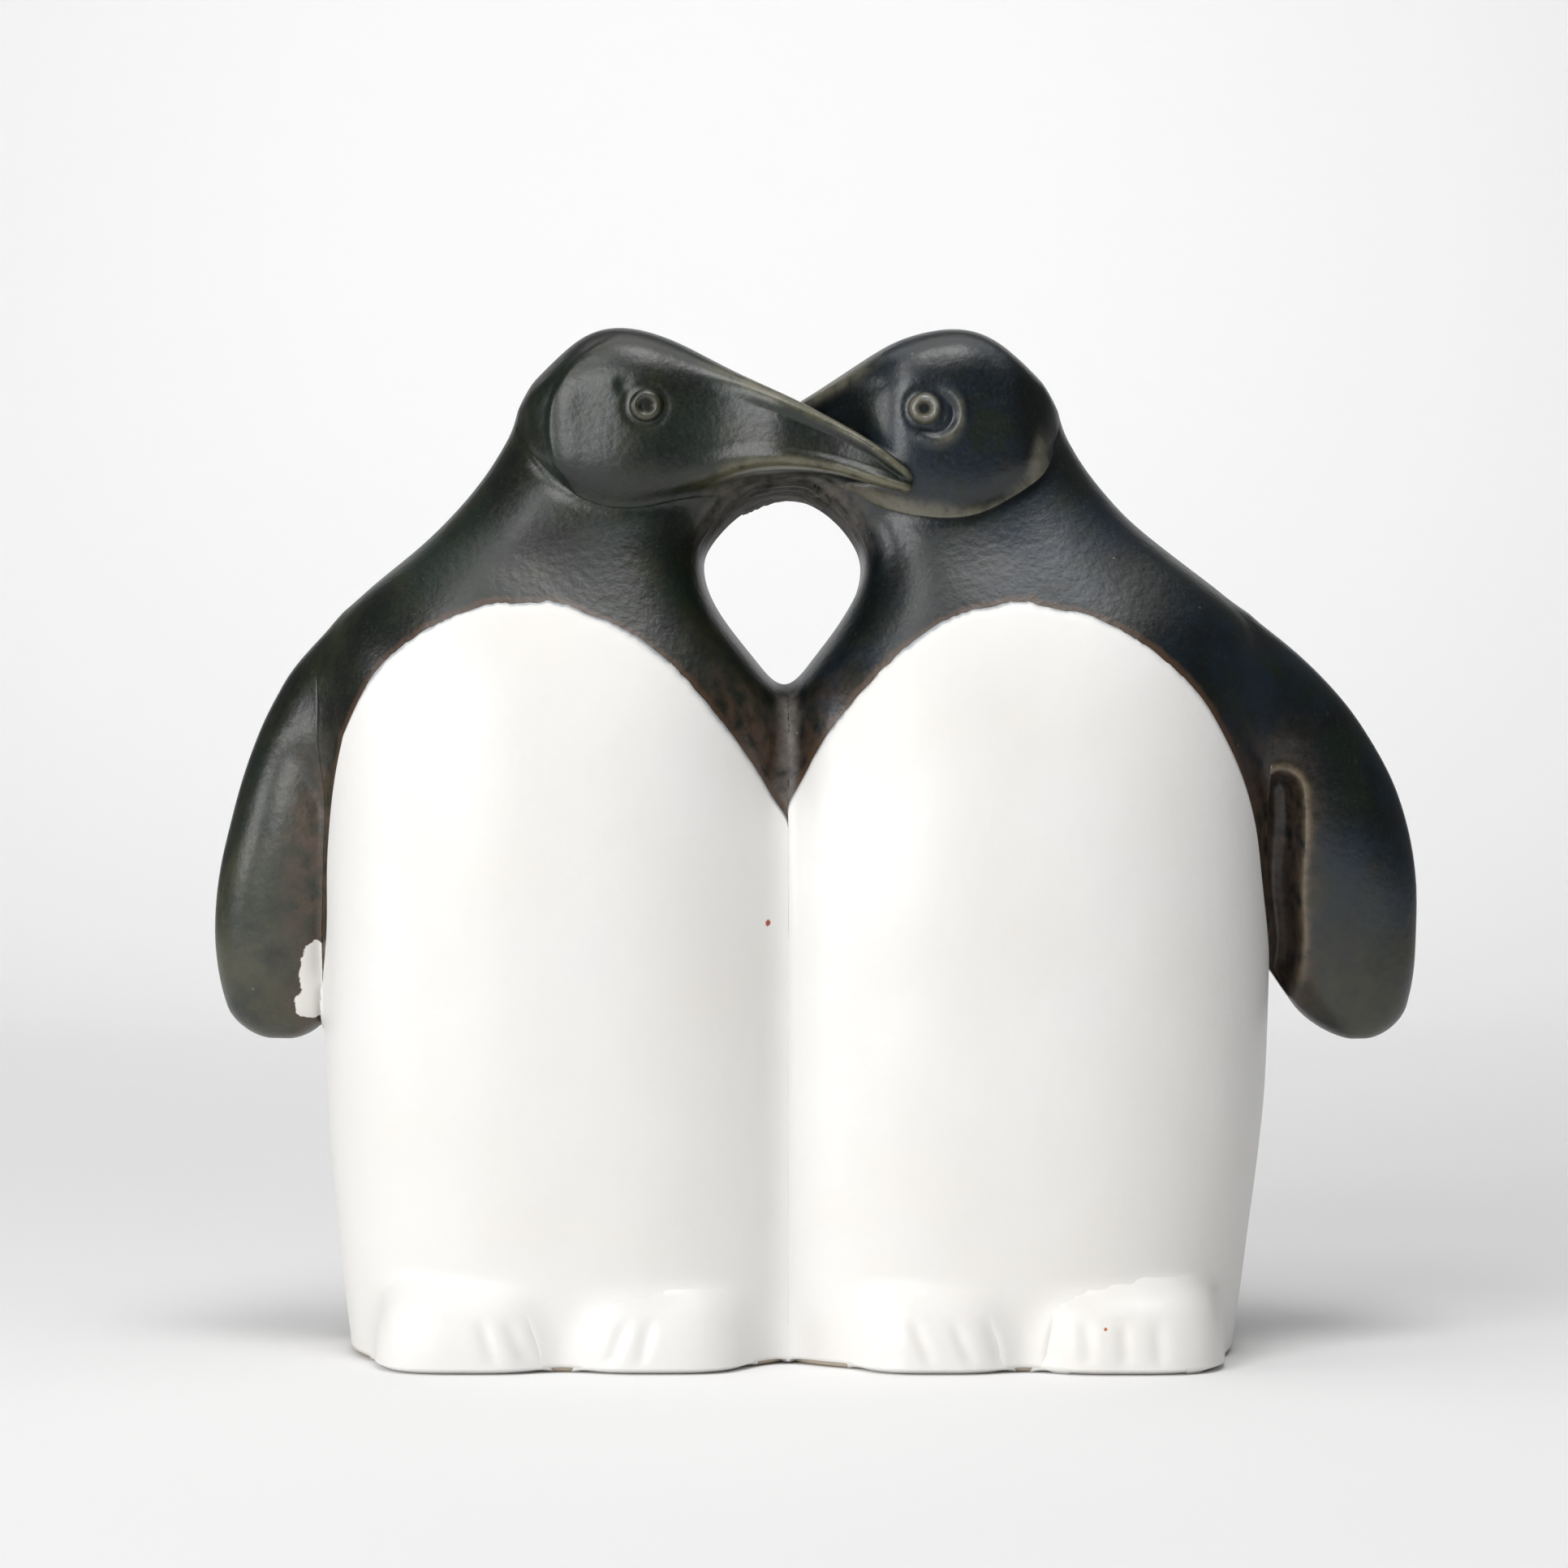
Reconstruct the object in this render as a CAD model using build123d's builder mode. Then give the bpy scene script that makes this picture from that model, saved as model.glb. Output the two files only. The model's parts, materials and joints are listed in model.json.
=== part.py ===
"""Pair of glazed stoneware penguins that stand side by side with crossed beaks.

The clay pieces are those that a potter forms and lutes together before firing: two hollow
bodies, two heads, two flippers, four feet and four eye pellets. A coat of white glaze covers
each belly. Millimetres, +Z up, front towards -Y, origin at the bottom centre of the pair.

"out" is the distance from the upright plane between the birds, away from the other bird.
"""

import os

from build123d import *

# Bodies
body_height = 130.0
body_reach = 63.8
right_body_swell = 2.2
body_depth = 62.0
wall = 5.0
floor_thickness = 6.0
cavity_drop = 24.0
drain_hole_diameter = 14.0

# Heads
crown_rise = 10.0
nape_overhang = 0.6
head_length = 53.5
head_height = 25.4
head_depth = 39.0
beak_lean = 19.0
nape_round = 2.5

# Eyes
eye_from_nape = 18.1
eye_drop = 12.0
left_eye_diameter = 4.2
right_eye_diameter = 5.4
eye_socket_margin = 1.2
eye_socket_depth = 1.5
eye_rise = 0.8
eye_round = 0.9
eye_dimple_diameter = 1.4

# Flippers
left_flipper_spread = 15.5
right_flipper_spread = 21.1
flipper_root_depth = 11.8
flipper_thickness = 22.0
flipper_length = 59.8
flipper_tip_round = 4.8
shoulder_drop = 28.0
web_recess = 5.5

# Feet
foot_height = 13.0
foot_length = 16.0
foot_proud = 2.6
toe_groove_diameter = 4.0
toe_groove_depth = 0.8
toe_lean = 22.0

# White glaze
glaze_thickness = 0.5
glaze_foot_gap = 0.8
glaze_back_edge = 6.0
arch_drop = 28.5

# Cuts run past the faces that they open by this much.
overrun = 12.0

# Handle length of a quarter curve over its half width: 0.55 is an ellipse, more is squarer.
body_fullness_share = 0.70
head_fullness_share = 0.86
flipper_fullness_share = 0.66
foot_fullness_share = 0.82

# Body sections at even heights, from one step below the floor to one step above body_height,
# where the ends are trimmed: outer and inner reach over body_reach, depth over body_depth,
# the part of the right bird's swell that falls on the section, and the fullness of the inner
# side, which is square where the gap between the necks is cut straight through.
body_station_shares = (
    (0.914, -0.072, 0.915, 0.40, 0.70),
    (0.934, -0.072, 0.935, 0.50, 0.70),
    (0.953, -0.072, 0.95, 0.60, 0.70),
    (0.969, -0.075, 0.97, 0.75, 0.70),
    (0.983, -0.078, 0.99, 0.90, 0.70),
    (0.992, -0.078, 1.00, 1.00, 0.70),
    (0.998, -0.078, 1.00, 1.00, 0.70),
    (1.000, -0.072, 1.00, 1.00, 0.70),
    (1.000, -0.056, 0.98, 1.00, 0.71),
    (1.000, -0.030, 0.94, 1.00, 0.74),
    (1.000, 0.016, 0.87, 0.90, 0.82),
    (0.972, 0.135, 0.74, 0.75, 0.90),
    (0.800, 0.172, 0.60, 0.40, 0.92),
    (0.658, 0.100, 0.53, 0.00, 0.84),
    (0.569, 0.220, 0.44, 0.00, 0.72),
    (0.490, 0.290, 0.37, 0.00, 0.70),
)

# Head sections at even steps from nape to beak tip: drop of the top and of the bottom below
# the crown over head_height, depth over head_depth, sideways lean over beak_lean.
head_station_shares = (
    (0.370, 0.650, 0.64, 0.00),
    (0.194, 0.830, 0.92, 0.00),
    (0.052, 0.950, 0.99, 0.00),
    (0.000, 1.000, 1.00, 0.00),
    (0.019, 0.985, 1.00, 0.00),
    (0.080, 0.930, 0.96, 0.02),
    (0.175, 0.860, 0.84, 0.14),
    (0.279, 0.800, 0.68, 0.34),
    (0.373, 0.787, 0.55, 0.52),
    (0.463, 0.801, 0.46, 0.60),
    (0.559, 0.831, 0.37, 0.71),
    (0.676, 0.883, 0.25, 0.86),
    (0.822, 0.926, 0.09, 1.00),
)

# Flipper sections at even heights from tip to top: inner and outer edge between the root (0)
# and the flipper's reach (1), then thickness over flipper_thickness.
left_flipper_shares = (
    (0.45, 0.875, 0.62),
    (0.36, 0.970, 0.76),
    (0.27, 1.000, 0.86),
    (0.19, 0.975, 0.95),
    (0.12, 0.920, 1.00),
    (0.07, 0.845, 1.00),
    (0.03, 0.735, 0.98),
    (0.00, 0.560, 0.93),
    (0.00, 0.300, 0.84),
)
right_flipper_shares = (
    (0.61, 0.920, 0.54),
    (0.46, 0.980, 0.66),
    (0.33, 1.000, 0.77),
    (0.22, 1.000, 0.88),
    (0.14, 0.960, 0.95),
    (0.08, 0.880, 0.98),
    (0.03, 0.750, 0.98),
    (0.00, 0.560, 0.93),
    (0.00, 0.290, 0.84),
)

# Corners of the thin web on the front of the right flipper: out between the root and the
# reach, height between the tip and the top.
web_corner_shares = (
    (0.30, -0.10),
    (0.48, -0.10),
    (0.50, 0.18),
    (0.535, 0.45),
    (0.535, 0.56),
    (0.48, 0.63),
    (0.38, 0.60),
    (0.30, 0.45),
)

# Foot sections at even heights: width and length over those of the foot.
foot_station_shares = ((1.00, 1.00), (1.00, 1.00), (0.97, 0.96), (0.88, 0.84), (0.62, 0.55))

# Foot name: bird, inner and outer edge over body_reach, stand-out from the body over foot_proud.
foot_table_shares = {
    "left_outer_foot": ("left", 0.467, 0.860, 1.00),
    "left_inner_foot": ("left", 0.075, 0.467, 0.90),
    "right_inner_foot": ("right", 0.130, 0.486, 0.70),
    "right_outer_foot": ("right", 0.486, 0.910, 1.45),
}
toe_groove_shares = (0.30, 0.66)

# Edge of the white glaze from the flipper to the groove: out / body_reach, height / arch_height.
arch_shares = (
    (1.020, 0.46),
    (1.000, 0.62),
    (0.970, 0.80),
    (0.830, 0.945),
    (0.560, 1.000),
    (0.350, 0.960),
    (0.170, 0.880),
    (0.050, 0.765),
    (-0.010, 0.690),
)

body_swell = {"left": 0, "right": right_body_swell}
flipper_root = body_reach - flipper_root_depth
flipper_reach = {
    "left": body_reach + left_flipper_spread,
    "right": body_reach + right_body_swell + right_flipper_spread,
}
flipper_top = body_height - shoulder_drop
flipper_tip = flipper_top - flipper_length
flipper_shares = {"left": left_flipper_shares, "right": right_flipper_shares}
eye_diameter = {"left": left_eye_diameter, "right": right_eye_diameter}
side_sign = {"left": -1, "right": 1}
groove_x = (flipper_reach["left"] - flipper_reach["right"]) / 2
crown_height = body_height + crown_rise
nape_reach = body_station_shares[-2][0] * body_reach + nape_overhang
eye_out = nape_reach - eye_from_nape
eye_height = crown_height - eye_drop
foot_seat = body_station_shares[1][2] * body_depth / 2
arch_height = body_height - arch_drop


def across(side, out):
    """X of a point that lies this far out from the plane between the birds."""
    return groove_x + side_sign[side] * out


def rounded_section(plane, half_width, half_height, right_share, left_share):
    """Closed section of four quarter curves, with the fullness of its right and left side."""
    corners = ((1, 1), (-1, 1), (-1, -1), (1, -1))
    with BuildSketch(plane) as section:
        with BuildLine():
            for sign_x, sign_y in corners:
                x = sign_x * half_width
                y = sign_y * half_height
                fullness_share = right_share if sign_x > 0 else left_share
                Bezier((x, 0), (x, y * fullness_share), (x * fullness_share, y), (0, y))
        make_face()
    return section.sketch


def body_sections(side, inset=0.0):
    """Level sections of a body, drawn in by the inset or grown by a negative one."""
    sections = []
    step = body_height / (len(body_station_shares) - 3)
    for index, station in enumerate(body_station_shares):
        outer_share, inner_share, depth_share, swell_share, inner_fullness_share = station
        outer = outer_share * body_reach + swell_share * body_swell[side] - inset
        inner = inner_share * body_reach + inset
        half_depth = depth_share * body_depth / 2 - inset
        plane = Plane((across(side, (outer + inner) / 2), 0, step * (index - 1)))
        sides = (body_fullness_share, inner_fullness_share)[:: side_sign[side]]
        sections.append(rounded_section(plane, (outer - inner) / 2, half_depth, *sides))
    return sections


def head_sections(side):
    """Upright sections of a head, from the nape to the tip of the beak."""
    sections = []
    last = len(head_station_shares) - 1
    for index, (top_share, bottom_share, depth_share, lean_share) in enumerate(head_station_shares):
        top = crown_height - top_share * head_height
        bottom = crown_height - bottom_share * head_height
        centre = (
            across(side, nape_reach - head_length * index / last),
            side_sign[side] * lean_share * beak_lean,
            (top + bottom) / 2,
        )
        plane = Plane(origin=centre, x_dir=(0, 1, 0), z_dir=(1, 0, 0))
        half_depth = depth_share * head_depth / 2
        sides = (head_fullness_share, head_fullness_share)
        sections.append(rounded_section(plane, half_depth, (top - bottom) / 2, *sides))
    return sections


def flipper_sections(side):
    """Level sections of a flipper, from the tip to the shoulder."""
    sections = []
    last = len(flipper_shares[side]) - 1
    for index, (inner_share, outer_share, thick_share) in enumerate(flipper_shares[side]):
        spread = flipper_reach[side] - flipper_root
        half_width = spread * (outer_share - inner_share) / 2
        out = flipper_root + spread * (outer_share + inner_share) / 2
        height = flipper_tip + (flipper_top - flipper_tip) * index / last
        half_thickness = thick_share * flipper_thickness / 2
        plane = Plane((across(side, out), 0, height))
        sides = (flipper_fullness_share, flipper_fullness_share)
        sections.append(rounded_section(plane, half_width, half_thickness, *sides))
    return sections


def foot_sections(inner_share, outer_share, proud_share, side):
    """Level sections of a foot, a cushion that swells out of the body's front."""
    sections = []
    last = len(foot_station_shares) - 1
    for index, (width_share, length_share) in enumerate(foot_station_shares):
        half_width = width_share * (outer_share - inner_share) * body_reach / 2
        out = (outer_share + inner_share) * body_reach / 2
        centre_y = foot_length - foot_seat - proud_share * foot_proud
        plane = Plane((across(side, out), centre_y, foot_height * index / last))
        half_length = length_share * foot_length
        sides = (foot_fullness_share, foot_fullness_share)
        sections.append(rounded_section(plane, half_width, half_length, *sides))
    return sections


def eye_seat(side, face_sign):
    """Floor of an eye socket on the front (-1) or back (+1) face of a head."""
    depth = head_depth / 2 - eye_socket_depth
    centre = (across(side, eye_out), face_sign * depth, eye_height)
    return Plane(origin=centre, z_dir=(0, face_sign, 0))


def own_half(side):
    """Plane between the birds, facing the bird on that side."""
    return Plane(origin=(groove_x, 0, 0), x_dir=(0, 1, 0), z_dir=(side_sign[side], 0, 0))


whole_body = {}
whole_head = {}
beak = {}
for side in ("left", "right"):
    with BuildPart() as solid_body:
        loft(sections=body_sections(side))
        split(bisect_by=own_half(side), keep=Keep.TOP)
        split(bisect_by=Plane.XY, keep=Keep.TOP)
        split(bisect_by=Plane.XY.offset(body_height), keep=Keep.BOTTOM)
    whole_body[side] = solid_body.part
    with BuildPart() as solid_head:
        loft(sections=head_sections(side))
        nape = solid_head.faces().sort_by(Axis.X)[-1 if side == "right" else 0]
        fillet(nape.edges(), nape_round)
    whole_head[side] = solid_head.part
    with BuildPart() as solid_beak:
        add(solid_head.part)
        split(bisect_by=own_half(side), keep=Keep.BOTTOM)
    beak[side] = solid_beak.part

pieces = {}
other = {"left": "right", "right": "left"}

for side in ("left", "right"):
    with BuildPart() as cavity:
        loft(sections=body_sections(side, wall))
        split(bisect_by=Plane.XY.offset(floor_thickness), keep=Keep.TOP)
        split(bisect_by=Plane.XY.offset(body_height - cavity_drop), keep=Keep.BOTTOM)
        split(bisect_by=own_half(side).offset(wall), keep=Keep.TOP)
    with BuildPart() as body:
        add(whole_body[side])
        add(cavity.part, mode=Mode.SUBTRACT)
        add(whole_head[side], mode=Mode.SUBTRACT)
        add(beak[other[side]], mode=Mode.SUBTRACT)
        with Locations((across(side, body_reach / 2), 0, 0)):
            Cylinder(drain_hole_diameter / 2, 2 * (floor_thickness + overrun), mode=Mode.SUBTRACT)
    pieces[f"{side}_body"] = body.part

    socket_radius = eye_diameter[side] / 2 + eye_socket_margin
    with BuildPart() as head:
        add(whole_head[side])
        add(beak[other[side]], mode=Mode.SUBTRACT)
        for face_sign in (-1, 1):
            with BuildSketch(eye_seat(side, face_sign)):
                Circle(socket_radius)
            extrude(amount=overrun, mode=Mode.SUBTRACT)
    pieces[f"{side}_head"] = head.part

    for face_sign, face_name in ((-1, "front"), (1, "back")):
        seat = eye_seat(side, face_sign)
        with BuildPart(seat) as eye:
            Cylinder(
                eye_diameter[side] / 2,
                eye_socket_depth + eye_rise,
                align=(Align.CENTER, Align.CENTER, Align.MIN),
            )
            fillet(eye.edges().sort_by(Axis(seat.origin, seat.z_dir))[-1], eye_round)
            with Locations((0, 0, eye_socket_depth + eye_rise)):
                Sphere(eye_dimple_diameter / 2, mode=Mode.SUBTRACT)
        pieces[f"{side}_{face_name}_eye"] = eye.part

    with BuildPart() as flipper:
        loft(sections=flipper_sections(side))
        fillet(flipper.faces().sort_by(Axis.Z)[0].edges(), flipper_tip_round)
        if side == "right":
            spread = flipper_reach[side] - flipper_root
            web_corners = [
                (across(side, flipper_root + out_share * spread), flipper_tip + height_share * flipper_length)
                for out_share, height_share in web_corner_shares
            ]
            with BuildSketch(Plane.XZ.offset(flipper_thickness / 2 - web_recess)):
                with BuildLine():
                    Polyline(*web_corners, close=True)
                make_face()
            extrude(amount=overrun, mode=Mode.SUBTRACT)
        add(whole_body[side], mode=Mode.SUBTRACT)
    pieces[f"{side}_flipper"] = flipper.part

for name, (side, inner_share, outer_share, proud_share) in foot_table_shares.items():
    with BuildPart() as foot:
        loft(sections=foot_sections(inner_share, outer_share, proud_share, side))
        add(whole_body[side], mode=Mode.SUBTRACT)
        for groove_share in toe_groove_shares:
            out = body_reach * (inner_share + groove_share * (outer_share - inner_share))
            groove_y = toe_groove_depth - toe_groove_diameter / 2 - foot_seat - proud_share * foot_proud
            with Locations(Location((across(side, out), groove_y, 0), (0, side_sign[side] * toe_lean, 0))):
                Cylinder(toe_groove_diameter / 2, 4 * foot_height, mode=Mode.SUBTRACT)
    pieces[name] = foot.part

for side in ("left", "right"):
    reach = body_reach + body_swell[side]
    with BuildPart() as coat:
        loft(sections=body_sections(side, -glaze_thickness))
        add(whole_body[side], mode=Mode.SUBTRACT)
        with BuildSketch(Plane.XZ.offset(-glaze_back_edge)):
            with BuildLine():
                edge = Spline(
                    *[
                        (across(side, out_share * reach), height_share * arch_height)
                        for out_share, height_share in arch_shares
                    ]
                )
                Polyline(
                    edge @ 1,
                    (across(side, 0), glaze_foot_gap),
                    (across(side, reach + overrun), glaze_foot_gap),
                    (across(side, reach + overrun), arch_shares[0][1] * arch_height),
                    edge @ 0,
                )
            make_face()
        extrude(amount=body_depth, mode=Mode.INTERSECT)
        split(bisect_by=own_half(side), keep=Keep.TOP)
        add(pieces[f"{side}_flipper"], mode=Mode.SUBTRACT)
        for name, foot_entry in foot_table_shares.items():
            if foot_entry[0] == side:
                add(pieces[name], mode=Mode.SUBTRACT)
    pieces[f"{side}_belly_glaze"] = coat.part

os.makedirs("parts", exist_ok=True)
for name, piece in pieces.items():
    piece.label = name
    export_step(piece, f"parts/{name}.step")
    box = piece.bounding_box()
    print(name, piece.is_valid, len(piece.solids()), round(piece.volume), box.min, box.max)
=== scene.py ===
# %% [markdown]
# # A pair of glazed stoneware penguins
#
# The real ornament is two hollow clay birds, luted together while soft, glazed dark with white
# bellies, and fired once. This lesson loads the measured solids as a fixed frame and dresses
# every one of them with a softer, hand-finished surface, worked out with numpy.

import json
import math

import bpy
import numpy as np
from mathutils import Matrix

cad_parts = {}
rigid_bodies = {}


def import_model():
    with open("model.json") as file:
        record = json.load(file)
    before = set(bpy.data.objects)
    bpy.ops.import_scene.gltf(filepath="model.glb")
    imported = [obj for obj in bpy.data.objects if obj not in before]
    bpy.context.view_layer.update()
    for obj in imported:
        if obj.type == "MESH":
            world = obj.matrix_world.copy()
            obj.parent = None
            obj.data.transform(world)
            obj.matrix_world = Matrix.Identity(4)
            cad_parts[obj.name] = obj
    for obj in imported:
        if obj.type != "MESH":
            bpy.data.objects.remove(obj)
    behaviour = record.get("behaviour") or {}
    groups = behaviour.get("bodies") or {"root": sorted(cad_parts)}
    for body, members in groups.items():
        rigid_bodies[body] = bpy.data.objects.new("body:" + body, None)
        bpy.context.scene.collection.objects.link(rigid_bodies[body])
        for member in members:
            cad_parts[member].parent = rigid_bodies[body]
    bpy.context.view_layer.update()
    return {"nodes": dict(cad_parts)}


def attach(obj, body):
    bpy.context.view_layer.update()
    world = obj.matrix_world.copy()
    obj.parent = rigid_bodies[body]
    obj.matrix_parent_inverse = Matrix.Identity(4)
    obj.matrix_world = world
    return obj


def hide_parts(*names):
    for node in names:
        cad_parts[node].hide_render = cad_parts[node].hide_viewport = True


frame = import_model()
MM = 0.001
print("solids in the frame:", len(frame["nodes"]))

# %% [markdown]
# ## Where each bird stands
#
# The two birds are the same form turned by half a turn about the upright line in the groove
# between them. Shapes could be written twice in the frame's own directions. It is shorter to
# write them once, as distances out from the groove and across it, and to turn them into place.

# %% Bird directions
GROOVE_X = -3.9
TURN = {"left": -1.0, "right": 1.0}
OTHER = {"left": "right", "right": "left"}


def to_row(side, out, across, height):
    """A bird's out, across and height in millimetres as x, y, z: half a turn for the left bird."""
    turn = TURN[side]
    return np.stack(np.broadcast_arrays(GROOVE_X + turn * out, turn * across, height), axis=-1)


def to_bird(side, points):
    """The way back: x, y, z as out, across and height."""
    turn = TURN[side]
    return np.stack([turn * (points[..., 0] - GROOVE_X), turn * points[..., 1], points[..., 2]], axis=-1)


def front(side):
    """Sign of the bird's across direction that faces the viewer."""
    return -TURN[side]


# %% [markdown]
# ## Smooth lines through stations
#
# A potter judges a form by a few cross-sections and smooths the clay between them. The same
# stations as those of the solids are joined here by natural cubic splines, which also give the
# slope that the surface needs.


# %% Spline through stations
def station_line(places, values):
    """Natural cubic spline through evenly spaced stations, one column for each value.

    The bend at each station solves bend[i-1] + 4 bend[i] + bend[i+1] = 6 second difference / step^2.
    Between stations the value is the straight line plus step^2 / 6 (u^3 - u) times the bend.
    """
    values = np.asarray(values, float)
    step = places[1] - places[0]
    count = len(places)
    system = np.eye(count)
    load = np.zeros_like(values)
    inner = np.arange(1, count - 1)
    system[inner, inner - 1] = 1.0
    system[inner, inner] = 4.0
    system[inner, inner + 1] = 1.0
    load[1:-1] = 6.0 * (values[:-2] - 2.0 * values[1:-1] + values[2:]) / step**2
    bend = np.linalg.solve(system, load)

    def read(at):
        place = np.clip((np.asarray(at, float) - places[0]) / step, 0.0, count - 1.0)
        index = np.minimum(place.astype(int), count - 2)
        u = (place - index)[..., None]
        w = 1.0 - u
        curve = (w**3 - w) * bend[index] + (u**3 - u) * bend[index + 1]
        value = w * values[index] + u * values[index + 1] + step**2 / 6.0 * curve
        turn = (1.0 - 3.0 * w**2) * bend[index] + (3.0 * u**2 - 1.0) * bend[index + 1]
        slope = (values[index + 1] - values[index]) / step + step / 6.0 * turn
        return value, slope

    return read


def squareness(fullness):
    """Power of the rounded section whose corner lies where a quarter curve of that fullness has it."""
    return -math.log(2.0) / np.log(0.5 + 0.375 * np.asarray(fullness))


# %% [markdown]
# ## Clay forms
#
# Every lump of clay here is a row of rounded sections along an axis. A form is kept as its
# section line, so that two things come from the same numbers: the grid of points that becomes
# a mesh, and the distance from any point to the lump, which later lets neighbours melt together.


# %% Sections, distances and grids
def clay_form(side, axis, places, columns, ends, rounds):
    """A lump: its bird, its axis (0 out, 2 height), its sections, its two ends and their rounding.

    The columns give each section's centre and half size in the two other directions, its power on
    the low and on the high side of the first of them, and what the low side of the second adds.
    """
    first, second = {0: (1, 2), 2: (0, 1)}[axis]
    return {
        "side": side,
        "axis": axis,
        "first": first,
        "second": second,
        "line": station_line(places, np.stack(columns, 1)),
        "ends": ends,
        "rounds": rounds,
    }


def distance_to(form, points):
    """Distance to a lump and its direction, at points in the frame.

    In a section, g = (|a|^n + |b|^n)^(1/n) is 1 on the skin. (g - 1) over the length of its slope
    is the distance near the skin. At an end, the end's own distance joins in over a round edge.
    """
    bird = to_bird(form["side"], points)
    along = bird[:, form["axis"]]
    value, slope = form["line"](along)
    a = (bird[:, form["first"]] - value[:, 0]) / value[:, 2]
    b = (bird[:, form["second"]] - value[:, 1]) / value[:, 3]
    n = np.where(a < 0.0, value[:, 4], value[:, 5]) + np.where(b < 0.0, value[:, 6], 0.0)
    g = (np.abs(a) ** n + np.abs(b) ** n) ** (1.0 / n) + 1e-9
    pull_a = np.sign(a) * (np.abs(a) / g) ** (n - 1.0)
    pull_b = np.sign(b) * (np.abs(b) / g) ** (n - 1.0)
    way = np.zeros_like(bird)
    way[:, form["first"]] = pull_a / value[:, 2]
    way[:, form["second"]] = pull_b / value[:, 3]
    drift_a = pull_a * (slope[:, 0] + a * slope[:, 2]) / value[:, 2]
    drift_b = pull_b * (slope[:, 1] + b * slope[:, 3]) / value[:, 3]
    way[:, form["axis"]] = -drift_a - drift_b
    steep = np.linalg.norm(way, axis=1) + 1e-9
    reach = (g - 1.0) / steep
    way /= steep[:, None]
    for end, outward, radius in zip(form["ends"], (-1.0, 1.0), form["rounds"]):
        past = outward * (along - end)
        p = np.maximum(reach + radius, 1e-6)
        q = np.maximum(past + radius, 1e-6)
        both = (reach > -radius) & (past > -radius)
        whole = np.hypot(p, q)
        end_way = np.zeros_like(way)
        end_way[:, form["axis"]] = outward
        round_way = (p[:, None] * way + q[:, None] * end_way) / whole[:, None]
        on_end = past > reach
        reach = np.where(both, whole - radius, np.maximum(reach, past))
        way = np.where(both[:, None], round_way, np.where(on_end[:, None], end_way, way))
    turn = TURN[form["side"]]
    return reach, way * np.array([turn, turn, 1.0])


def section_ring(form, along, angle, shrink=1.0):
    """Points of a section: centre plus half size times (cos, sin) / (|cos|^n + |sin|^n)^(1/n)."""
    along, angle = np.broadcast_arrays(along, angle)
    value, _ = form["line"](along)
    c = np.cos(angle)
    s = np.sin(angle)
    n = np.where(c < 0.0, value[..., 4], value[..., 5]) + np.where(s < 0.0, value[..., 6], 0.0)
    scale = shrink / (np.abs(c) ** n + np.abs(s) ** n) ** (1.0 / n)
    bird = [None, None, None]
    bird[form["axis"]] = along
    bird[form["first"]] = value[..., 0] + value[..., 2] * c * scale
    bird[form["second"]] = value[..., 1] + value[..., 3] * s * scale
    return to_row(form["side"], *bird)


CAP_SHARE = 1.5


def lump_grid(form, rows, columns, cap_rows):
    """Rows of sections from one pole to the other, drawn in to the poles along quarter circles."""
    low, high = form["ends"]
    arc = np.linspace(0.0, np.pi / 2, cap_rows)
    low_cap = low + CAP_SHARE * form["rounds"][0] * (1.0 - np.cos(arc))
    high_cap = high - CAP_SHARE * form["rounds"][1] * (1.0 - np.cos(arc))
    wall = np.linspace(low_cap[-1], high_cap[-1], rows - 2 * cap_rows + 2)[1:-1]
    along = np.concatenate([low_cap, wall, high_cap[::-1]])
    shrink = np.concatenate([np.sin(arc), np.ones_like(wall), np.sin(arc)[::-1]])
    angle = np.linspace(0.0, 2 * np.pi, columns, endpoint=False)
    return section_ring(form, along[:, None], angle, shrink[:, None])


# %% [markdown]
# ## Melting neighbours together
#
# On the real birds a wet finger has smoothed each join, and the glaze fills what is left. A
# boolean union would leave hard lines. Here each piece keeps its own mesh, and its points slide
# onto the skin of a soft union of the lumps. A piece sinks a little as it enters its neighbour,
# so that only one of the two skins shows.


# %% Soft joins
def smooth_step(low, high, value):
    """0 at low, 1 at high, 3 t^2 - 2 t^3 between."""
    t = np.clip((value - low) / (high - low), 0.0, 1.0)
    return t * t * (3.0 - 2.0 * t)


def soft_union(reach_a, way_a, reach_b, way_b, blend):
    """The nearer of two distances, less h^2 blend / 4 where they differ by less than the blend."""
    h = np.maximum(blend - np.abs(reach_a - reach_b), 0.0) / blend
    share = np.where(reach_a < reach_b, 1.0 - h / 2, h / 2)[:, None]
    return np.minimum(reach_a, reach_b) - h * h * blend / 4, share * way_a + (1.0 - share) * way_b


TUCK = 0.5


def union_of(lumps, points):
    """Distance to lumps melted together one after another, and its direction.

    Each lump comes with its width of blend, or with a function that gives it. A lump may be a
    form or a list of lumps melted together before.
    """
    reach, way = None, None
    for lump, blend in lumps:
        reader = union_of if isinstance(lump, list) else distance_to
        next_reach, next_way = reader(lump, points)
        if reach is None:
            reach, way = next_reach, next_way
            continue
        width = blend(points) if callable(blend) else blend
        reach, way = soft_union(reach, way, next_reach, next_way, width)
    return reach, way


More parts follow.
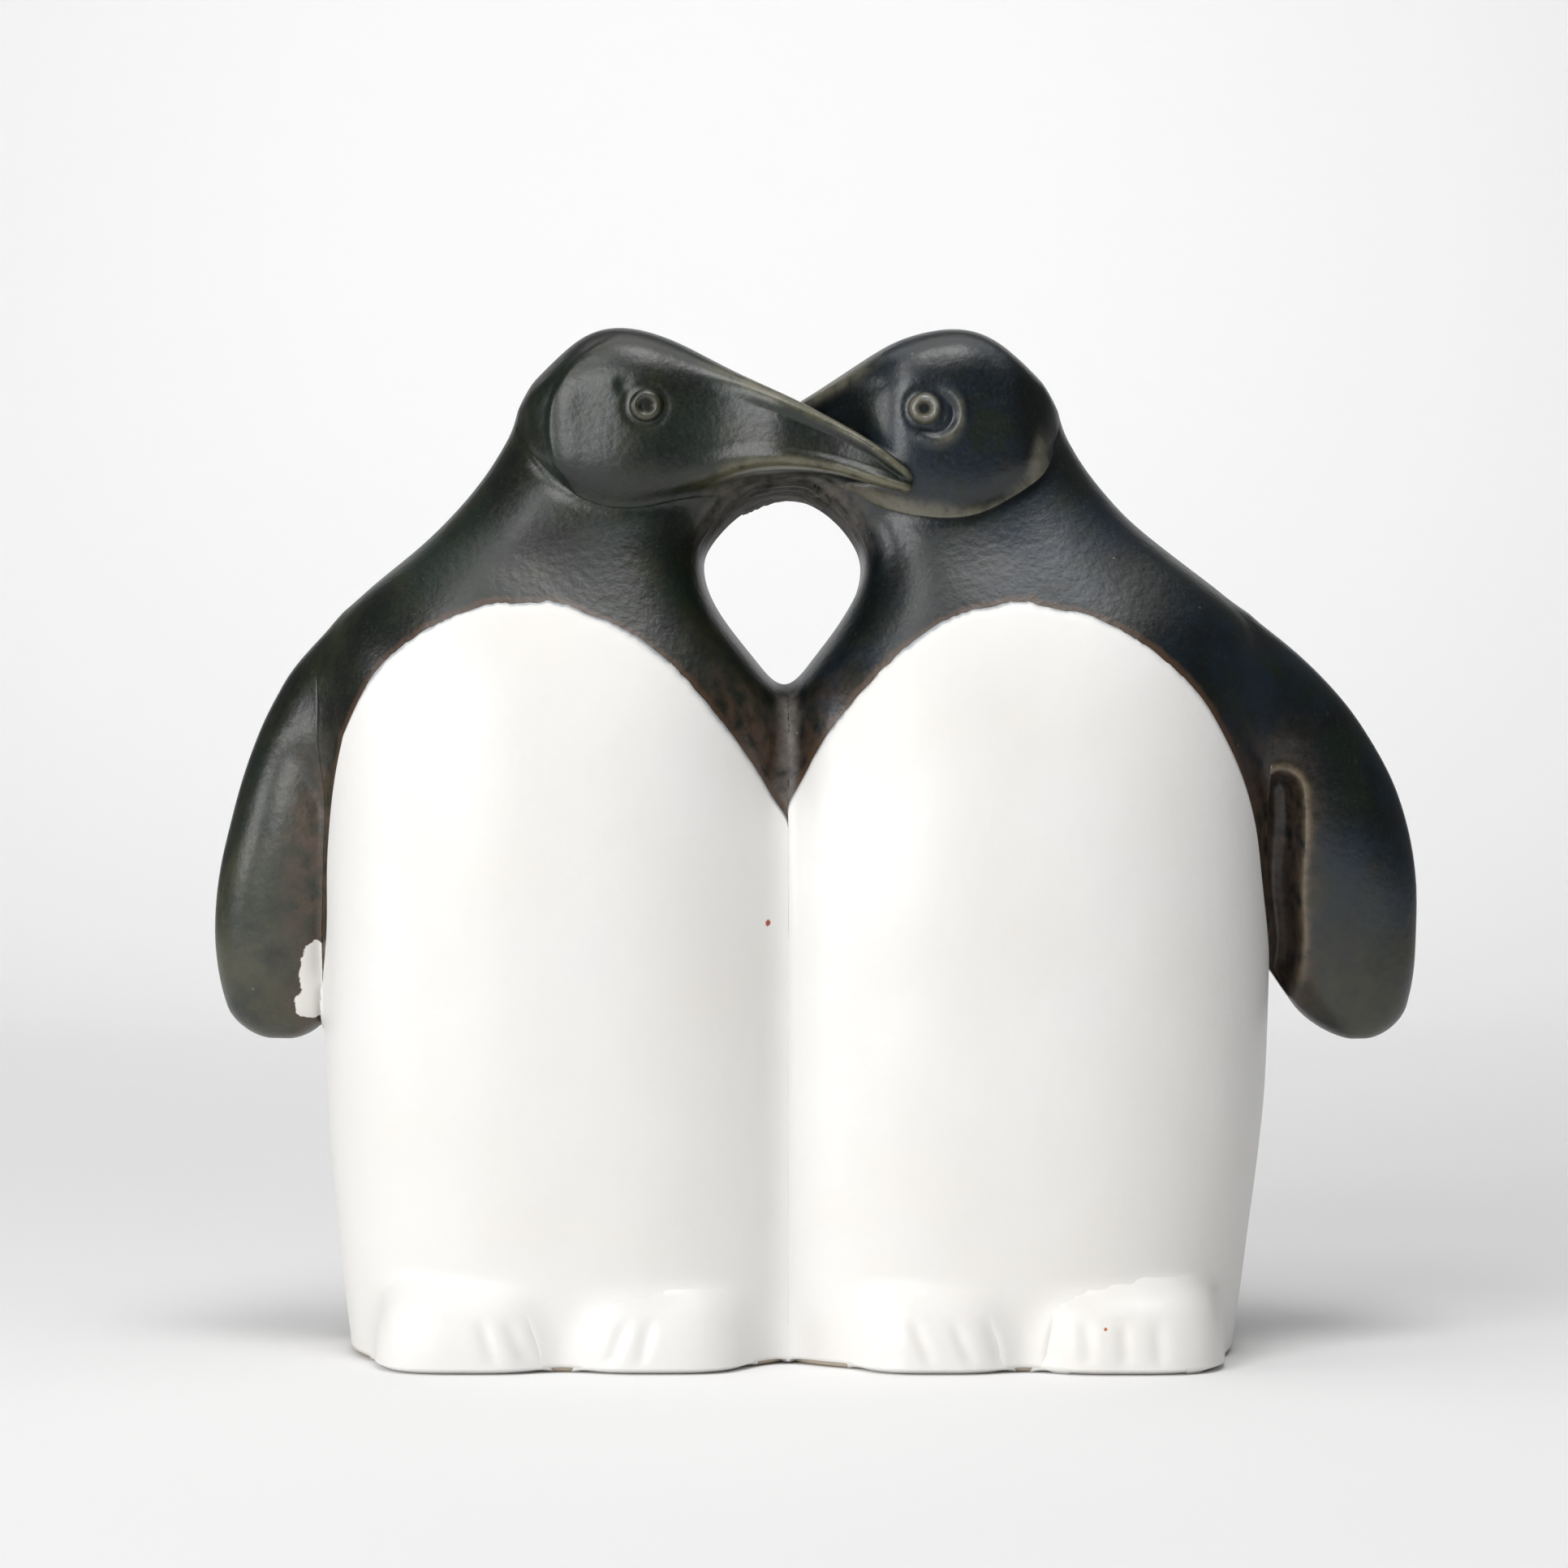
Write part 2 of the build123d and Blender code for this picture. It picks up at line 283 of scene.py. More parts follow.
def smooth_joins(grid, own, neighbours, level, marks):
    """Slide points along the slope of the soft union until it reads level plus marks, less the tuck.

    Level is one height for each point, marks a function of place that all pieces share. The tuck is
    TUCK times the square of the depth inside a neighbour. Points deeper than 1 / TUCK are hidden and
    stay on their own lump.
    """
    own = own if isinstance(own, list) else [(own, 0.0)]
    points = grid.reshape(-1, 3).copy()
    lift = np.broadcast_to(level, grid.shape[:-1]).reshape(-1)
    for _ in range(3):
        reach, way = union_of(own, points)
        points -= np.clip(reach - lift - marks(points), -2.0, 2.0)[:, None] * way
    depth = np.full(len(points), -1e9)
    for neighbour in neighbours:
        depth = np.maximum(depth, -union_of([neighbour], points)[0])
    inside = np.clip(depth, 0.0, None)
    target = lift - np.minimum(TUCK * inside**2, inside)
    moved = depth < 1.0 / TUCK
    skin = points[moved]
    for _ in range(4):
        reach, way = union_of(own + neighbours, skin)
        slope = np.sum(way * way, axis=1) + 1e-6
        skin -= (np.clip(reach - target[moved] - marks(skin), -1.5, 1.5) / slope)[:, None] * way
    points[moved] = skin
    return points.reshape(grid.shape)


FINGER_DEPTH = 0.25


def finger_marks(points, depth=FINGER_DEPTH):
    """Slight hollows left by smoothing: products of long sine waves, between -depth and 0."""
    x, y, z = points[..., 0], points[..., 1], points[..., 2]
    dabs = np.sin(x / 3.1 + np.sin(z / 5.3)) * np.sin(z / 3.7 + np.sin(y / 4.1))
    strokes = np.sin(y / 2.9 + x / 5.7 + z / 6.1)
    return depth * ((dabs + strokes) / 4 - 0.5)


# %% [markdown]
# ## From grid to mesh
#
# A closed lump is a grid that wraps round and is drawn to a point at both ends. Building it face
# by face would be slow, so that the corner numbers of all faces are worked out as arrays. Numbers
# for the glaze, such as the distance to the white, are kept with the points.


# %% Mesh builders
def build_mesh(name, points, faces, marks):
    """Mesh from points in millimetres, corner arrays, and one number per point for each mark."""
    halves = [np.concatenate([f[:, :3], f[:, [0, 2, 3]]]) if f.shape[1] == 4 else f for f in faces]
    corners = points[np.concatenate(halves)]
    volume = np.sum(corners[:, 0] * np.cross(corners[:, 1], corners[:, 2])) / 6.0
    if volume < 0.0:
        faces = [f[:, ::-1] for f in faces]
    mesh = bpy.data.meshes.new(name)
    mesh.vertices.add(len(points))
    mesh.vertices.foreach_set("co", (points * MM).astype(np.float32).ravel())
    sizes = np.concatenate([np.full(len(f), f.shape[1]) for f in faces])
    loops = np.concatenate([f.ravel() for f in faces])
    mesh.loops.add(len(loops))
    mesh.loops.foreach_set("vertex_index", loops.astype(np.int32))
    mesh.polygons.add(len(sizes))
    mesh.polygons.foreach_set("loop_start", (np.cumsum(sizes) - sizes).astype(np.int32))
    mesh.polygons.foreach_set("use_smooth", np.ones(len(sizes), bool))
    mesh.update(calc_edges=True)
    for mark, values in marks.items():
        layer = mesh.attributes.new(mark, "FLOAT", "POINT")
        layer.data.foreach_set("value", values.astype(np.float32))
    piece = bpy.data.objects.new(name, mesh)
    bpy.context.scene.collection.objects.link(piece)
    print(f"{name}: {len(points)} points, {abs(volume) / 1000:.1f} cm3")
    return piece


def lump_mesh(name, grid, marks):
    """Closed mesh of a wrapping grid whose first and last rows are single points."""
    rows, columns = grid.shape[:2]

    def once(values):
        middle = values[1:-1].reshape((-1,) + values.shape[2:])
        return np.concatenate([values[:1, 0], middle, values[-1:, 0]])

    ring = 1 + np.arange((rows - 2) * columns).reshape(rows - 2, columns)
    beside = np.roll(ring, -1, axis=1)
    quads = np.stack([ring[:-1], ring[1:], beside[1:], beside[:-1]], -1).reshape(-1, 4)
    first = np.stack([np.zeros(columns, int), ring[0], beside[0]], -1)
    last = np.stack([np.full(columns, 1 + ring.size), beside[-1], ring[-1]], -1)
    point_marks = {mark: once(values) for mark, values in marks.items()}
    return build_mesh(name, once(grid), [quads, first, last], point_marks)


# %% [markdown]
# ## The bodies
#
# Each body was cast hollow: a tall barrel that narrows to a neck, flat where it touches the other
# bird, with a wall, a floor and a drain hole. A turned profile would make it round, and the real
# one is squarer, so that it is a row of rounded sections. The neck's inner side is nearly square,
# because the gap between the birds was cut straight through with a knife.

# %% Body forms
BODY_REACH = 63.8
BODY_DEPTH = 62.0
BODY_HEIGHT = 130.0
BODY_TOP = BODY_HEIGHT + 2.0
STATION_STEP = 10.0
BASE_ROUND = 1.2
NECK_ROUND = 3.0
BODY_SWELL = {"left": 0.0, "right": 2.2}
BODY_FULLNESS = 0.70
NECK_SHIFT = {"left": 0.0, "right": 1.3}
WALL = 5.0
FLOOR = 6.0
CAVITY_TOP = 106.0
DRAIN_RADIUS = 7.0
body_shares = np.array(
    [
        (0.914, -0.072, 0.915, 0.40, 0.70),
        (0.934, -0.072, 0.935, 0.50, 0.70),
        (0.953, -0.072, 0.95, 0.60, 0.70),
        (0.969, -0.075, 0.97, 0.75, 0.70),
        (0.983, -0.078, 0.99, 0.90, 0.70),
        (0.992, -0.078, 1.00, 1.00, 0.70),
        (0.998, -0.078, 1.00, 1.00, 0.70),
        (1.000, -0.072, 1.00, 1.00, 0.70),
        (1.000, -0.056, 0.98, 1.00, 0.71),
        (1.000, -0.030, 0.94, 1.00, 0.74),
        (1.000, 0.016, 0.87, 0.90, 0.82),
        (0.972, 0.135, 0.74, 0.75, 0.90),
        (0.800, 0.172, 0.585, 0.40, 0.92),
        (0.658, 0.100, 0.49, 0.00, 0.84),
        (0.569, 0.220, 0.44, 0.00, 0.72),
        (0.490, 0.290, 0.37, 0.00, 0.70),
    ]
)
neck_station_shares = np.array([0.0] * 10 + [0.5, 1.0, 1.0, 0.5, 0.0, 0.0])


def body_form(side, inset=0.0):
    """A body's sections at even heights, drawn in by an inset for the hollow inside."""
    outer = body_shares[:, 0] * BODY_REACH + body_shares[:, 3] * BODY_SWELL[side] - inset
    inner = body_shares[:, 1] * BODY_REACH + inset - NECK_SHIFT[side] * neck_station_shares
    depth = body_shares[:, 2] * BODY_DEPTH / 2 - inset
    inner_power = squareness(body_shares[:, 4])
    outer_power = np.full(len(outer), squareness(BODY_FULLNESS))
    columns = [(outer + inner) / 2, 0 * outer, (outer - inner) / 2, depth]
    columns += [inner_power, outer_power, 0 * outer]
    heights = np.linspace(-STATION_STEP, BODY_HEIGHT + STATION_STEP, len(outer))
    return clay_form(side, 2, heights, columns, (0.0, BODY_TOP), (BASE_ROUND, NECK_ROUND))


bodies = {side: body_form(side) for side in TURN}
for side in TURN:
    width = 2 * bodies[side]["line"](60.0)[0][2]
    print(f"{side} body is {width:.1f} mm wide at 60 mm")

# %% [markdown]
# ## The heads
#
# A head is a flat slab of clay with a rounded edge, drawn out into a beak that leans past the
# other bird. It runs sideways, so that its sections stand upright along the way from the beak's
# tip to the nape.

# %% Head forms
CROWN = 140.0
NAPE = 36.9
HEAD_LENGTH = 53.5
HEAD_HEIGHT = 25.4
HEAD_DEPTH = 39.0
BEAK_LEAN = 19.0
HEAD_FULLNESS = 0.86
HEAD_DROP = {"left": 1.0, "right": 2.0}
CHEEK_POWER = 1.5
HEAD_ROUNDS = (1.2, 2.5)
BRIDGE_REACH = 14.0
BRIDGE_HEIGHT = 122.0
BRIDGE_HALF_DEPTH = 14.0
BRIDGE_HALF_HEIGHT = 4.8
BRIDGE_POWER = 3.0
BRIDGE_ROUNDS = (2.0, 2.0)
head_shares = np.array(
    [
        (0.822, 0.926, 0.09, 1.00),
        (0.676, 0.883, 0.25, 0.86),
        (0.559, 0.831, 0.37, 0.71),
        (0.463, 0.801, 0.47, 0.60),
        (0.373, 0.787, 0.59, 0.48),
        (0.279, 0.800, 0.76, 0.26),
        (0.175, 0.860, 0.90, 0.08),
        (0.080, 0.930, 0.98, 0.00),
        (0.019, 0.985, 1.00, 0.00),
        (0.000, 1.000, 0.99, 0.00),
        (0.052, 0.950, 0.955, 0.00),
        (0.194, 0.830, 0.88, 0.00),
        (0.370, 0.650, 0.60, 0.00),
    ]
)
head_drop_shares = np.array([0.0, 0.0, 0.0, 0.0, 0.2, 0.5, 0.8, 1.0, 1.0, 1.0, 0.8, 0.4, 0.0])


def head_form(side):
    """A head's upright sections at even steps from the beak's tip to the nape."""
    top = CROWN - head_shares[:, 0] * HEAD_HEIGHT
    bottom = CROWN - head_shares[:, 1] * HEAD_HEIGHT - HEAD_DROP[side] * head_drop_shares
    power = np.full(len(top), squareness(HEAD_FULLNESS))
    columns = [head_shares[:, 3] * BEAK_LEAN, (top + bottom) / 2]
    columns += [head_shares[:, 2] * HEAD_DEPTH / 2, (top - bottom) / 2]
    columns += [power, power, 0 * power + CHEEK_POWER]
    places = np.linspace(NAPE - HEAD_LENGTH, NAPE, len(top))
    return clay_form(side, 0, places, columns, (NAPE - HEAD_LENGTH, NAPE), HEAD_ROUNDS)


def bridge_form():
    """The clay that closes the gap between the necks from above: a flat bar from neck to neck."""
    section = (0.0, BRIDGE_HEIGHT, BRIDGE_HALF_DEPTH, BRIDGE_HALF_HEIGHT, BRIDGE_POWER, BRIDGE_POWER, 0.0)
    places = np.linspace(-BRIDGE_REACH, BRIDGE_REACH, 3)
    columns = [np.full(len(places), value) for value in section]
    return clay_form("left", 0, places, columns, (-BRIDGE_REACH, BRIDGE_REACH), BRIDGE_ROUNDS)


heads = {side: head_form(side) for side in TURN}
bridge = bridge_form()
print("heads reach from", NAPE - HEAD_LENGTH, "to", NAPE, "mm out")

# %% [markdown]
# ## The flippers
#
# A flipper is a soft tongue of clay pressed onto the side of the body, widest near its end. The
# right one stands off its body on a thin web.

# %% Flipper forms
FLIPPER_ROOT = 52.0
FLIPPER_REACH = {"left": 79.3, "right": 87.1}
FLIPPER_TIP = 42.2
FLIPPER_TOP = 102.0
FLIPPER_THICKNESS = 22.0
FLIPPER_FULLNESS = 0.66
FLIPPER_ROUNDS = (4.8, 1.2)
flipper_shares = {
    "left": np.array(
        [
            (0.45, 0.875, 0.62),
            (0.36, 0.970, 0.76),
            (0.27, 1.000, 0.86),
            (0.19, 0.975, 0.95),
            (0.12, 0.920, 1.00),
            (0.07, 0.845, 1.00),
            (0.03, 0.735, 0.98),
            (0.00, 0.560, 0.93),
            (0.00, 0.300, 0.84),
        ]
    ),
    "right": np.array(
        [
            (0.61, 0.920, 0.54),
            (0.46, 0.980, 0.66),
            (0.33, 1.000, 0.77),
            (0.22, 1.000, 0.88),
            (0.14, 0.960, 0.95),
            (0.08, 0.880, 0.98),
            (0.03, 0.750, 0.98),
            (0.00, 0.560, 0.93),
            (0.00, 0.290, 0.84),
        ]
    ),
}


def flipper_form(side):
    """A flipper's level sections at even heights from the tip to the shoulder."""
    shares = flipper_shares[side]
    spread = FLIPPER_REACH[side] - FLIPPER_ROOT
    power = np.full(len(shares), squareness(FLIPPER_FULLNESS))
    columns = [FLIPPER_ROOT + spread * (shares[:, 0] + shares[:, 1]) / 2, 0 * power]
    columns += [spread * (shares[:, 1] - shares[:, 0]) / 2, shares[:, 2] * FLIPPER_THICKNESS / 2]
    columns += [power, power, 0 * power]
    heights = np.linspace(FLIPPER_TIP, FLIPPER_TOP, len(shares))
    return clay_form(side, 2, heights, columns, (FLIPPER_TIP, FLIPPER_TOP), FLIPPER_ROUNDS)


flippers = {side: flipper_form(side) for side in TURN}
print("flippers hang from", FLIPPER_TOP, "to", FLIPPER_TIP, "mm")

# %% [markdown]
# ## The feet
#
# Each foot is a low cushion at the front of the base, with toes marked by a few pressed lines.

# %% Foot forms
FOOT_HEIGHT = 13.0
FOOT_LENGTH = 16.0
FOOT_PROUD = 2.6
FOOT_SEAT = body_shares[1, 2] * BODY_DEPTH / 2
FOOT_FULLNESS = 0.82
FOOT_ROUNDS = (0.8, 3.5)
COAT = 0.35
foot_levels = np.array([(1.00, 1.00), (1.00, 1.00), (0.97, 0.96), (0.88, 0.84), (0.62, 0.55)])
foot_shares = {
    "left_outer_foot": ("left", 0.467, 0.860, 1.25),
    "left_inner_foot": ("left", 0.075, 0.467, 1.15),
    "right_inner_foot": ("right", 0.130, 0.486, 1.25),
    "right_outer_foot": ("right", 0.486, 0.910, 1.43),
}


def foot_form(side, inner, outer, proud):
    """A foot's level sections: a cushion whose front stands proud of the body's base."""
    power = np.full(len(foot_levels), squareness(FOOT_FULLNESS))
    middle = FOOT_LENGTH - FOOT_SEAT - proud * FOOT_PROUD + COAT
    columns = [0 * power + (inner + outer) / 2 * BODY_REACH, 0 * power - front(side) * middle]
    columns += [foot_levels[:, 0] * (outer - inner) / 2 * BODY_REACH, foot_levels[:, 1] * FOOT_LENGTH]
    columns += [power, power, 0 * power]
    heights = np.linspace(0.0, FOOT_HEIGHT, len(foot_levels))
    return clay_form(side, 2, heights, columns, (0.0, FOOT_HEIGHT), FOOT_ROUNDS)


feet = {name: foot_form(*shares) for name, shares in foot_shares.items()}
print("feet:", ", ".join(feet))

# %% [markdown]
# ## The edge of the white glaze
#
# The white was brushed on the bellies inside an arch, down both sides to the groove between the
# birds and under the flippers. A painted mask on the body would have no thickness. The white is
# a coat of its own, a patch between four edges, laid over the body in the body's own angles and
# heights.

# %% Belly patch
BELLY_FOOT = 0.8
BELLY_INNER = -1.4
ARCH_HEIGHT = 101.5
arch_shares = {
    "left": np.array(
        [
            (-0.022, 0.672),
            (0.045, 0.765),
            (0.135, 0.845),
            (0.225, 0.912),
            (0.330, 0.962),
            (0.450, 0.998),
            (0.575, 1.004),
            (0.700, 0.987),
            (0.800, 0.950),
            (0.880, 0.900),
            (0.940, 0.830),
        ]
    ),
    "right": np.array(
        [
            (-0.022, 0.672),
            (0.030, 0.772),
            (0.105, 0.850),
            (0.220, 0.930),
            (0.340, 0.981),
            (0.460, 1.004),
            (0.580, 0.994),
            (0.700, 0.968),
            (0.800, 0.922),
            (0.880, 0.868),
            (0.945, 0.795),
        ]
    ),
}
side_angles = {
    "left": np.array([-0.20, -0.20, -0.20, -0.20, -0.16, 0.30, 0.40, 0.46, 0.60]),
    "right": np.array([-0.20, -0.20, -0.20, -0.20, -0.20, 0.10, 0.38, 0.50, 0.68]),
}


def angle_at(form, out, height):
    """Angle from the outer side towards the front at which a section has this out."""
    value, _ = form["line"](height)
    a = np.clip((out - value[..., 0]) / value[..., 2], -0.999, 0.999)
    n = np.where(a < 0.0, value[..., 4], value[..., 5])
    return np.arctan2((1.0 - np.abs(a) ** n) ** (1.0 / n), a)


def belly_edges(side, count):
    """The four edges of the white as angle and height: base, arch, groove and flipper side."""
    form = bodies[side]
    u = np.linspace(0.0, 1.0, count)
    shares = arch_shares[side]
    arch, _ = station_line(np.linspace(0.0, 1.0, len(shares)), shares * (BODY_REACH, ARCH_HEIGHT))(u)
    ragged = 0.16 * np.sin(29.0 * u + 3.0 * np.sin(11.0 * u))
    ragged += 0.10 * np.sin(97.0 * u + 4.0 * np.sin(23.0 * u))
    ragged += 0.07 * np.sin(241.0 * u + 3.0 * np.sin(61.0 * u))
    arch[:, 1] += ragged * np.sin(np.pi * u)
    arch_edge = np.stack([angle_at(form, arch[:, 0], arch[:, 1]), arch[:, 1]], 1)
    groove_height = BELLY_FOOT + (arch[0, 1] - BELLY_FOOT) * u
    groove_edge = np.stack([angle_at(form, 0.0 * u + BELLY_INNER, groove_height), groove_height], 1)
    side_height = BELLY_FOOT + (arch[-1, 1] - BELLY_FOOT) * u
    places = np.linspace(0.0, 1.0, len(side_angles[side]))
    side_angle = station_line(places, side_angles[side][:, None])(u)[0][:, 0]
    side_angle += (arch_edge[-1, 0] - side_angle[-1]) * u**8
    flipper_edge = np.stack([side_angle, side_height], 1)
    base_angle = groove_edge[0, 0] + (side_angle[0] - groove_edge[0, 0]) * u
    base_edge = np.stack([base_angle, 0.0 * u + BELLY_FOOT], 1)
    return base_edge, arch_edge, groove_edge, flipper_edge


def on_body(side, angle_height):
    """Points on a body at an angle from its outer side towards the front, and a height."""
    return section_ring(bodies[side], angle_height[..., 1], front(side) * angle_height[..., 0])


def white_edge(side, count=450):
    """The arch and the flipper side of the white as one line of points on the body."""
    _, arch, _, flipper_side = belly_edges(side, count)
    return np.concatenate([on_body(side, arch), on_body(side, flipper_side)])


def distance_to_line(points, line):
    """Distance from each point to a line's nearest point: square root of |p|^2 - 2 p.q + |q|^2."""
    nearest = []
    for block in np.array_split(points, 12):
        square = np.sum(block**2, 1)[:, None] - 2.0 * block @ line.T + np.sum(line**2, 1)
        nearest.append(np.sqrt(np.maximum(square.min(axis=1), 0.0)))
    return np.concatenate(nearest)


white_lines = {side: white_edge(side) for side in TURN}
for side in TURN:
    print(f"white edge on the {side} bird: highest at {white_lines[side][:, 2].max():.1f} mm")

# %% [markdown]
# ## Body skins
#
# The body's grid runs from inside the head down the outside, round the base, in through the drain
# hole, and up the hollow to a point, so that wall, floor and hole are one closed skin.


# %% Body grid
def body_grid(side, wall_rows=205, columns=340):
    """Outer wall from the top pole to the base, then base ring and drain hole, then the hollow."""
    form = bodies[side]
    hollow_form = body_form(side, WALL)
    angle = np.linspace(0.0, 2 * np.pi, columns, endpoint=False)
    arc = np.linspace(0.0, np.pi / 2, 10)
    cap_height = BODY_TOP - NECK_ROUND * (1.0 - np.cos(arc))
    wall_height = np.concatenate([cap_height, np.linspace(cap_height[-1], BASE_ROUND, wall_rows)[1:]])
    shrink = np.concatenate([np.sin(arc), np.ones(wall_rows - 1)])
    outside = section_ring(form, wall_height[:, None], angle, shrink[:, None])
    foot_round = np.linspace(0.0, np.pi / 2, 7)[1:]
    rim = section_ring(form, BASE_ROUND * (1 - np.sin(foot_round))[:, None], angle)
    middle = to_row(side, BODY_REACH / 2, 0.0, 0.0)
    flat = rim[:, :, :2] - middle[:2]
    length = np.linalg.norm(flat, axis=-1, keepdims=True)
    rim[:, :, :2] -= flat / length * BASE_ROUND * (1 - np.cos(foot_round))[:, None, None]
    direction = flat[-1] / length[-1]
    hole_edge = np.zeros((columns, 3))
    hole_edge[:, :2] = middle[:2] + DRAIN_RADIUS * direction
    base = rim[-1] + (hole_edge - rim[-1]) * np.linspace(0.0, 1.0, 8)[1:, None, None]
    hole = hole_edge + np.array([0.0, 0.0, FLOOR]) * np.linspace(0.0, 1.0, 5)[1:, None, None]
    inside = section_ring(hollow_form, np.linspace(FLOOR, CAVITY_TOP, 46)[:, None], angle)
    floor = hole[-1] + (inside[0] - hole[-1]) * np.linspace(0.0, 1.0, 7)[1:-1, None, None]
    top = inside[-1].mean(axis=0)
    roof = inside[-1] + (top - inside[-1]) * np.linspace(0.0, 1.0, 6)[1:, None, None]
    under = np.concatenate([rim, base, hole, floor[:1]])
    return outside, under, np.concatenate([floor[1:], inside, roof])


def keep_to_side(side, grid, least):
    """Press points that cross the plane between the birds flat against it."""
    bird = to_bird(side, grid)
    return to_row(side, np.maximum(bird[..., 0], least), bird[..., 1], bird[..., 2])


# %% [markdown]
# ## How the bodies join their neighbours
#
# A join is as wide as the finger that smoothed it: wide under the shoulder and over the gap
# between the necks, narrow at the armpit and round the cheeks. One width for all would fill the
# armpit or leave a hard line at the neck. The wrinkles of the gap's ceiling are worked out from
# the place alone, so that every piece that shares the ceiling carries the same ones.

# %% Blends and clay marks
NARROW_BLEND = 1.5
SHOULDER_BLEND = 6.0
NECK_BLEND = 2.0
GAP_BLEND = 5.0
GROOVE_BLEND = 5.0
HEADS_BLEND = 1.0
FOOT_BLEND = 2.5
WRINKLE_HEIGHT = 0.10


def shoulder_blend(points):
    """Width of the blend between flipper and body: wide below the shoulder, narrow elsewhere."""
    height = points[:, 2]
    wide = smooth_step(73.0, 86.0, height) * smooth_step(99.0, 91.0, height)
    return NARROW_BLEND + SHOULDER_BLEND * wide


def neck_blend(points):
    """Width of the blend between heads and bodies: wide over the gap between the necks."""
    near_gap = smooth_step(18.0, 10.0, np.abs(points[:, 0] - GROOVE_X))
    return NECK_BLEND + GAP_BLEND * near_gap * smooth_step(17.0, 11.0, np.abs(points[:, 1]))


def body_neighbours(side):
    """Lumps that a body melts into, with the width of each blend in millimetres."""
    other = OTHER[side]
    both_heads = [(heads[side], 0.0), (bridge, NARROW_BLEND), (heads[other], HEADS_BLEND)]
    near = [(bodies[other], GROOVE_BLEND), (both_heads, neck_blend), (flippers[side], shoulder_blend)]
    return near + [(form, FOOT_BLEND) for form in feet.values() if form["side"] == side]


def gap_ceiling(points):
    """Share of the gap's ceiling at points, and its wrinkles: a wave across, shifted by slower waves."""
    out, across, height = points[..., 0] - GROOVE_X, points[..., 1], points[..., 2]
    share = smooth_step(15.0, 11.0, np.abs(out)) * smooth_step(15.5, 12.0, np.abs(across))
    share = share * smooth_step(107.0, 113.0, height) * smooth_step(121.5, 119.0, height)
    wave = 4.1 * across + 1.3 * np.sin(0.7 * out) + 1.7 * np.sin(0.33 * out + across)
    return share, WRINKLE_HEIGHT * share * np.sin(wave)


def clay_marks(points):
    """Finger marks and the ceiling's wrinkles, the same on every dark piece."""
    return finger_marks(points) + gap_ceiling(points)[1]


print("neighbours of the left body:", len(body_neighbours("left")))

# %% [markdown]
# ## Where the dark glaze changes
#
# A dipped glaze is not even: it runs thin and brown along edges, olive towards a flipper's end,
# and stays dry in the groove. Painting it by noise alone would put the drifts anywhere. Each point
# of a skin keeps its own shares, which the finish reads later.

# %% Glaze marks and bodies
brown_edge = {"left": (71.0, 64.0), "right": (74.0, 69.0)}
brown_share = {"left": 1.0, "right": 0.5}
olive_span = {"left": (88.0, 50.0), "right": (72.0, 46.0)}
olive_share = {"left": 0.9, "right": 0.55}
DRY_SHARE = 0.8
PRESS_PLANE = -2.0


def glaze_marks(side, grid):
    """Distance to the white, and the shares of brown, of thin olive and of dry glaze at each point.

    Brown lies along the inner edge of a flipper and beside the groove, olive at the lower end of a
    flipper, dry glaze in the groove.
    """
    bird = to_bird(side, grid)
    out, height = bird[..., 0], bird[..., 2]
    fringe = distance_to_line(grid.reshape(-1, 3), white_lines[side]).reshape(grid.shape[:2])
    edge = smooth_step(*brown_edge[side], out)
    edge = edge * smooth_step(90.0, 70.0, height) * smooth_step(54.0, 60.0, out)
    groove = smooth_step(24.0, 4.0, out) * smooth_step(100.0, 82.0, height) * smooth_step(16.0, 1.0, fringe)
    warm = edge + groove * brown_share[side]
    thin = olive_share[side] * smooth_step(*olive_span[side], height) * smooth_step(58.0, 64.0, out)
    dry = DRY_SHARE * smooth_step(2.0, 0.8, out) * smooth_step(94.0, 88.0, height)
    return {"fringe": fringe, "warm": warm, "thin": thin, "dry": dry + gap_ceiling(grid)[0]}


pieces = {}
for side in TURN:
    outside, under, hollow = body_grid(side)
    outside = smooth_joins(outside, bodies[side], body_neighbours(side), 0.0, clay_marks)
    outside = keep_to_side(side, outside, PRESS_PLANE)
    under = keep_to_side(side, under, 0.0)
    hollow = keep_to_side(side, hollow, WALL)
    grid = np.concatenate([outside, under, hollow])
    pieces[f"{side}_body"] = lump_mesh(f"{side}_body_skin", grid, glaze_marks(side, grid))

# %% [markdown]
# ## Head skins
#
# The face of each head is pressed in a little inside a rolled lip, and the lip runs on along the
# beak. Around the eye a tool has left a dent and a rim. These are small, so that they are raised
# and sunk on the head's own skin. The glaze runs thin over them, which is kept as a share for the
# dark finish. The two heads share the ceiling of the gap. Each gives way past the diagonal on
# which its distances out and across add up to nothing.

# %% Lips and faces
lip_height = {"left": 0.05, "right": 0.85}
lip_share = {"left": 0.0, "right": 0.9}
lip_end = {"left": (36.0, 30.0), "right": (26.0, 20.0)}
BEAK_LIP_HEIGHT = 0.45
UPPER_LIP_SHARE = 0.85
FACE_DEPTH = 0.15
BEAK_PANEL_DEPTH = 0.45


def bell(value, width):
    """Bell curve: 1 at 0, e^-1 at the width."""
    return np.exp(-((value / width) ** 2))


def section_place(side, bird):
    """Shares of half depth and half height at which points lie in a head's section; its half height."""
    value, _ = heads[side]["line"](bird[..., 0])
    a = np.abs((bird[..., 1] - value[..., 0]) / value[..., 2])
    b = (bird[..., 2] - value[..., 1]) / value[..., 3]
    return a, b, value[..., 3]


def flat_face(a):
    """Share of a head's flat front or back, from the share of half depth."""
    return smooth_step(0.55, 0.85, a)


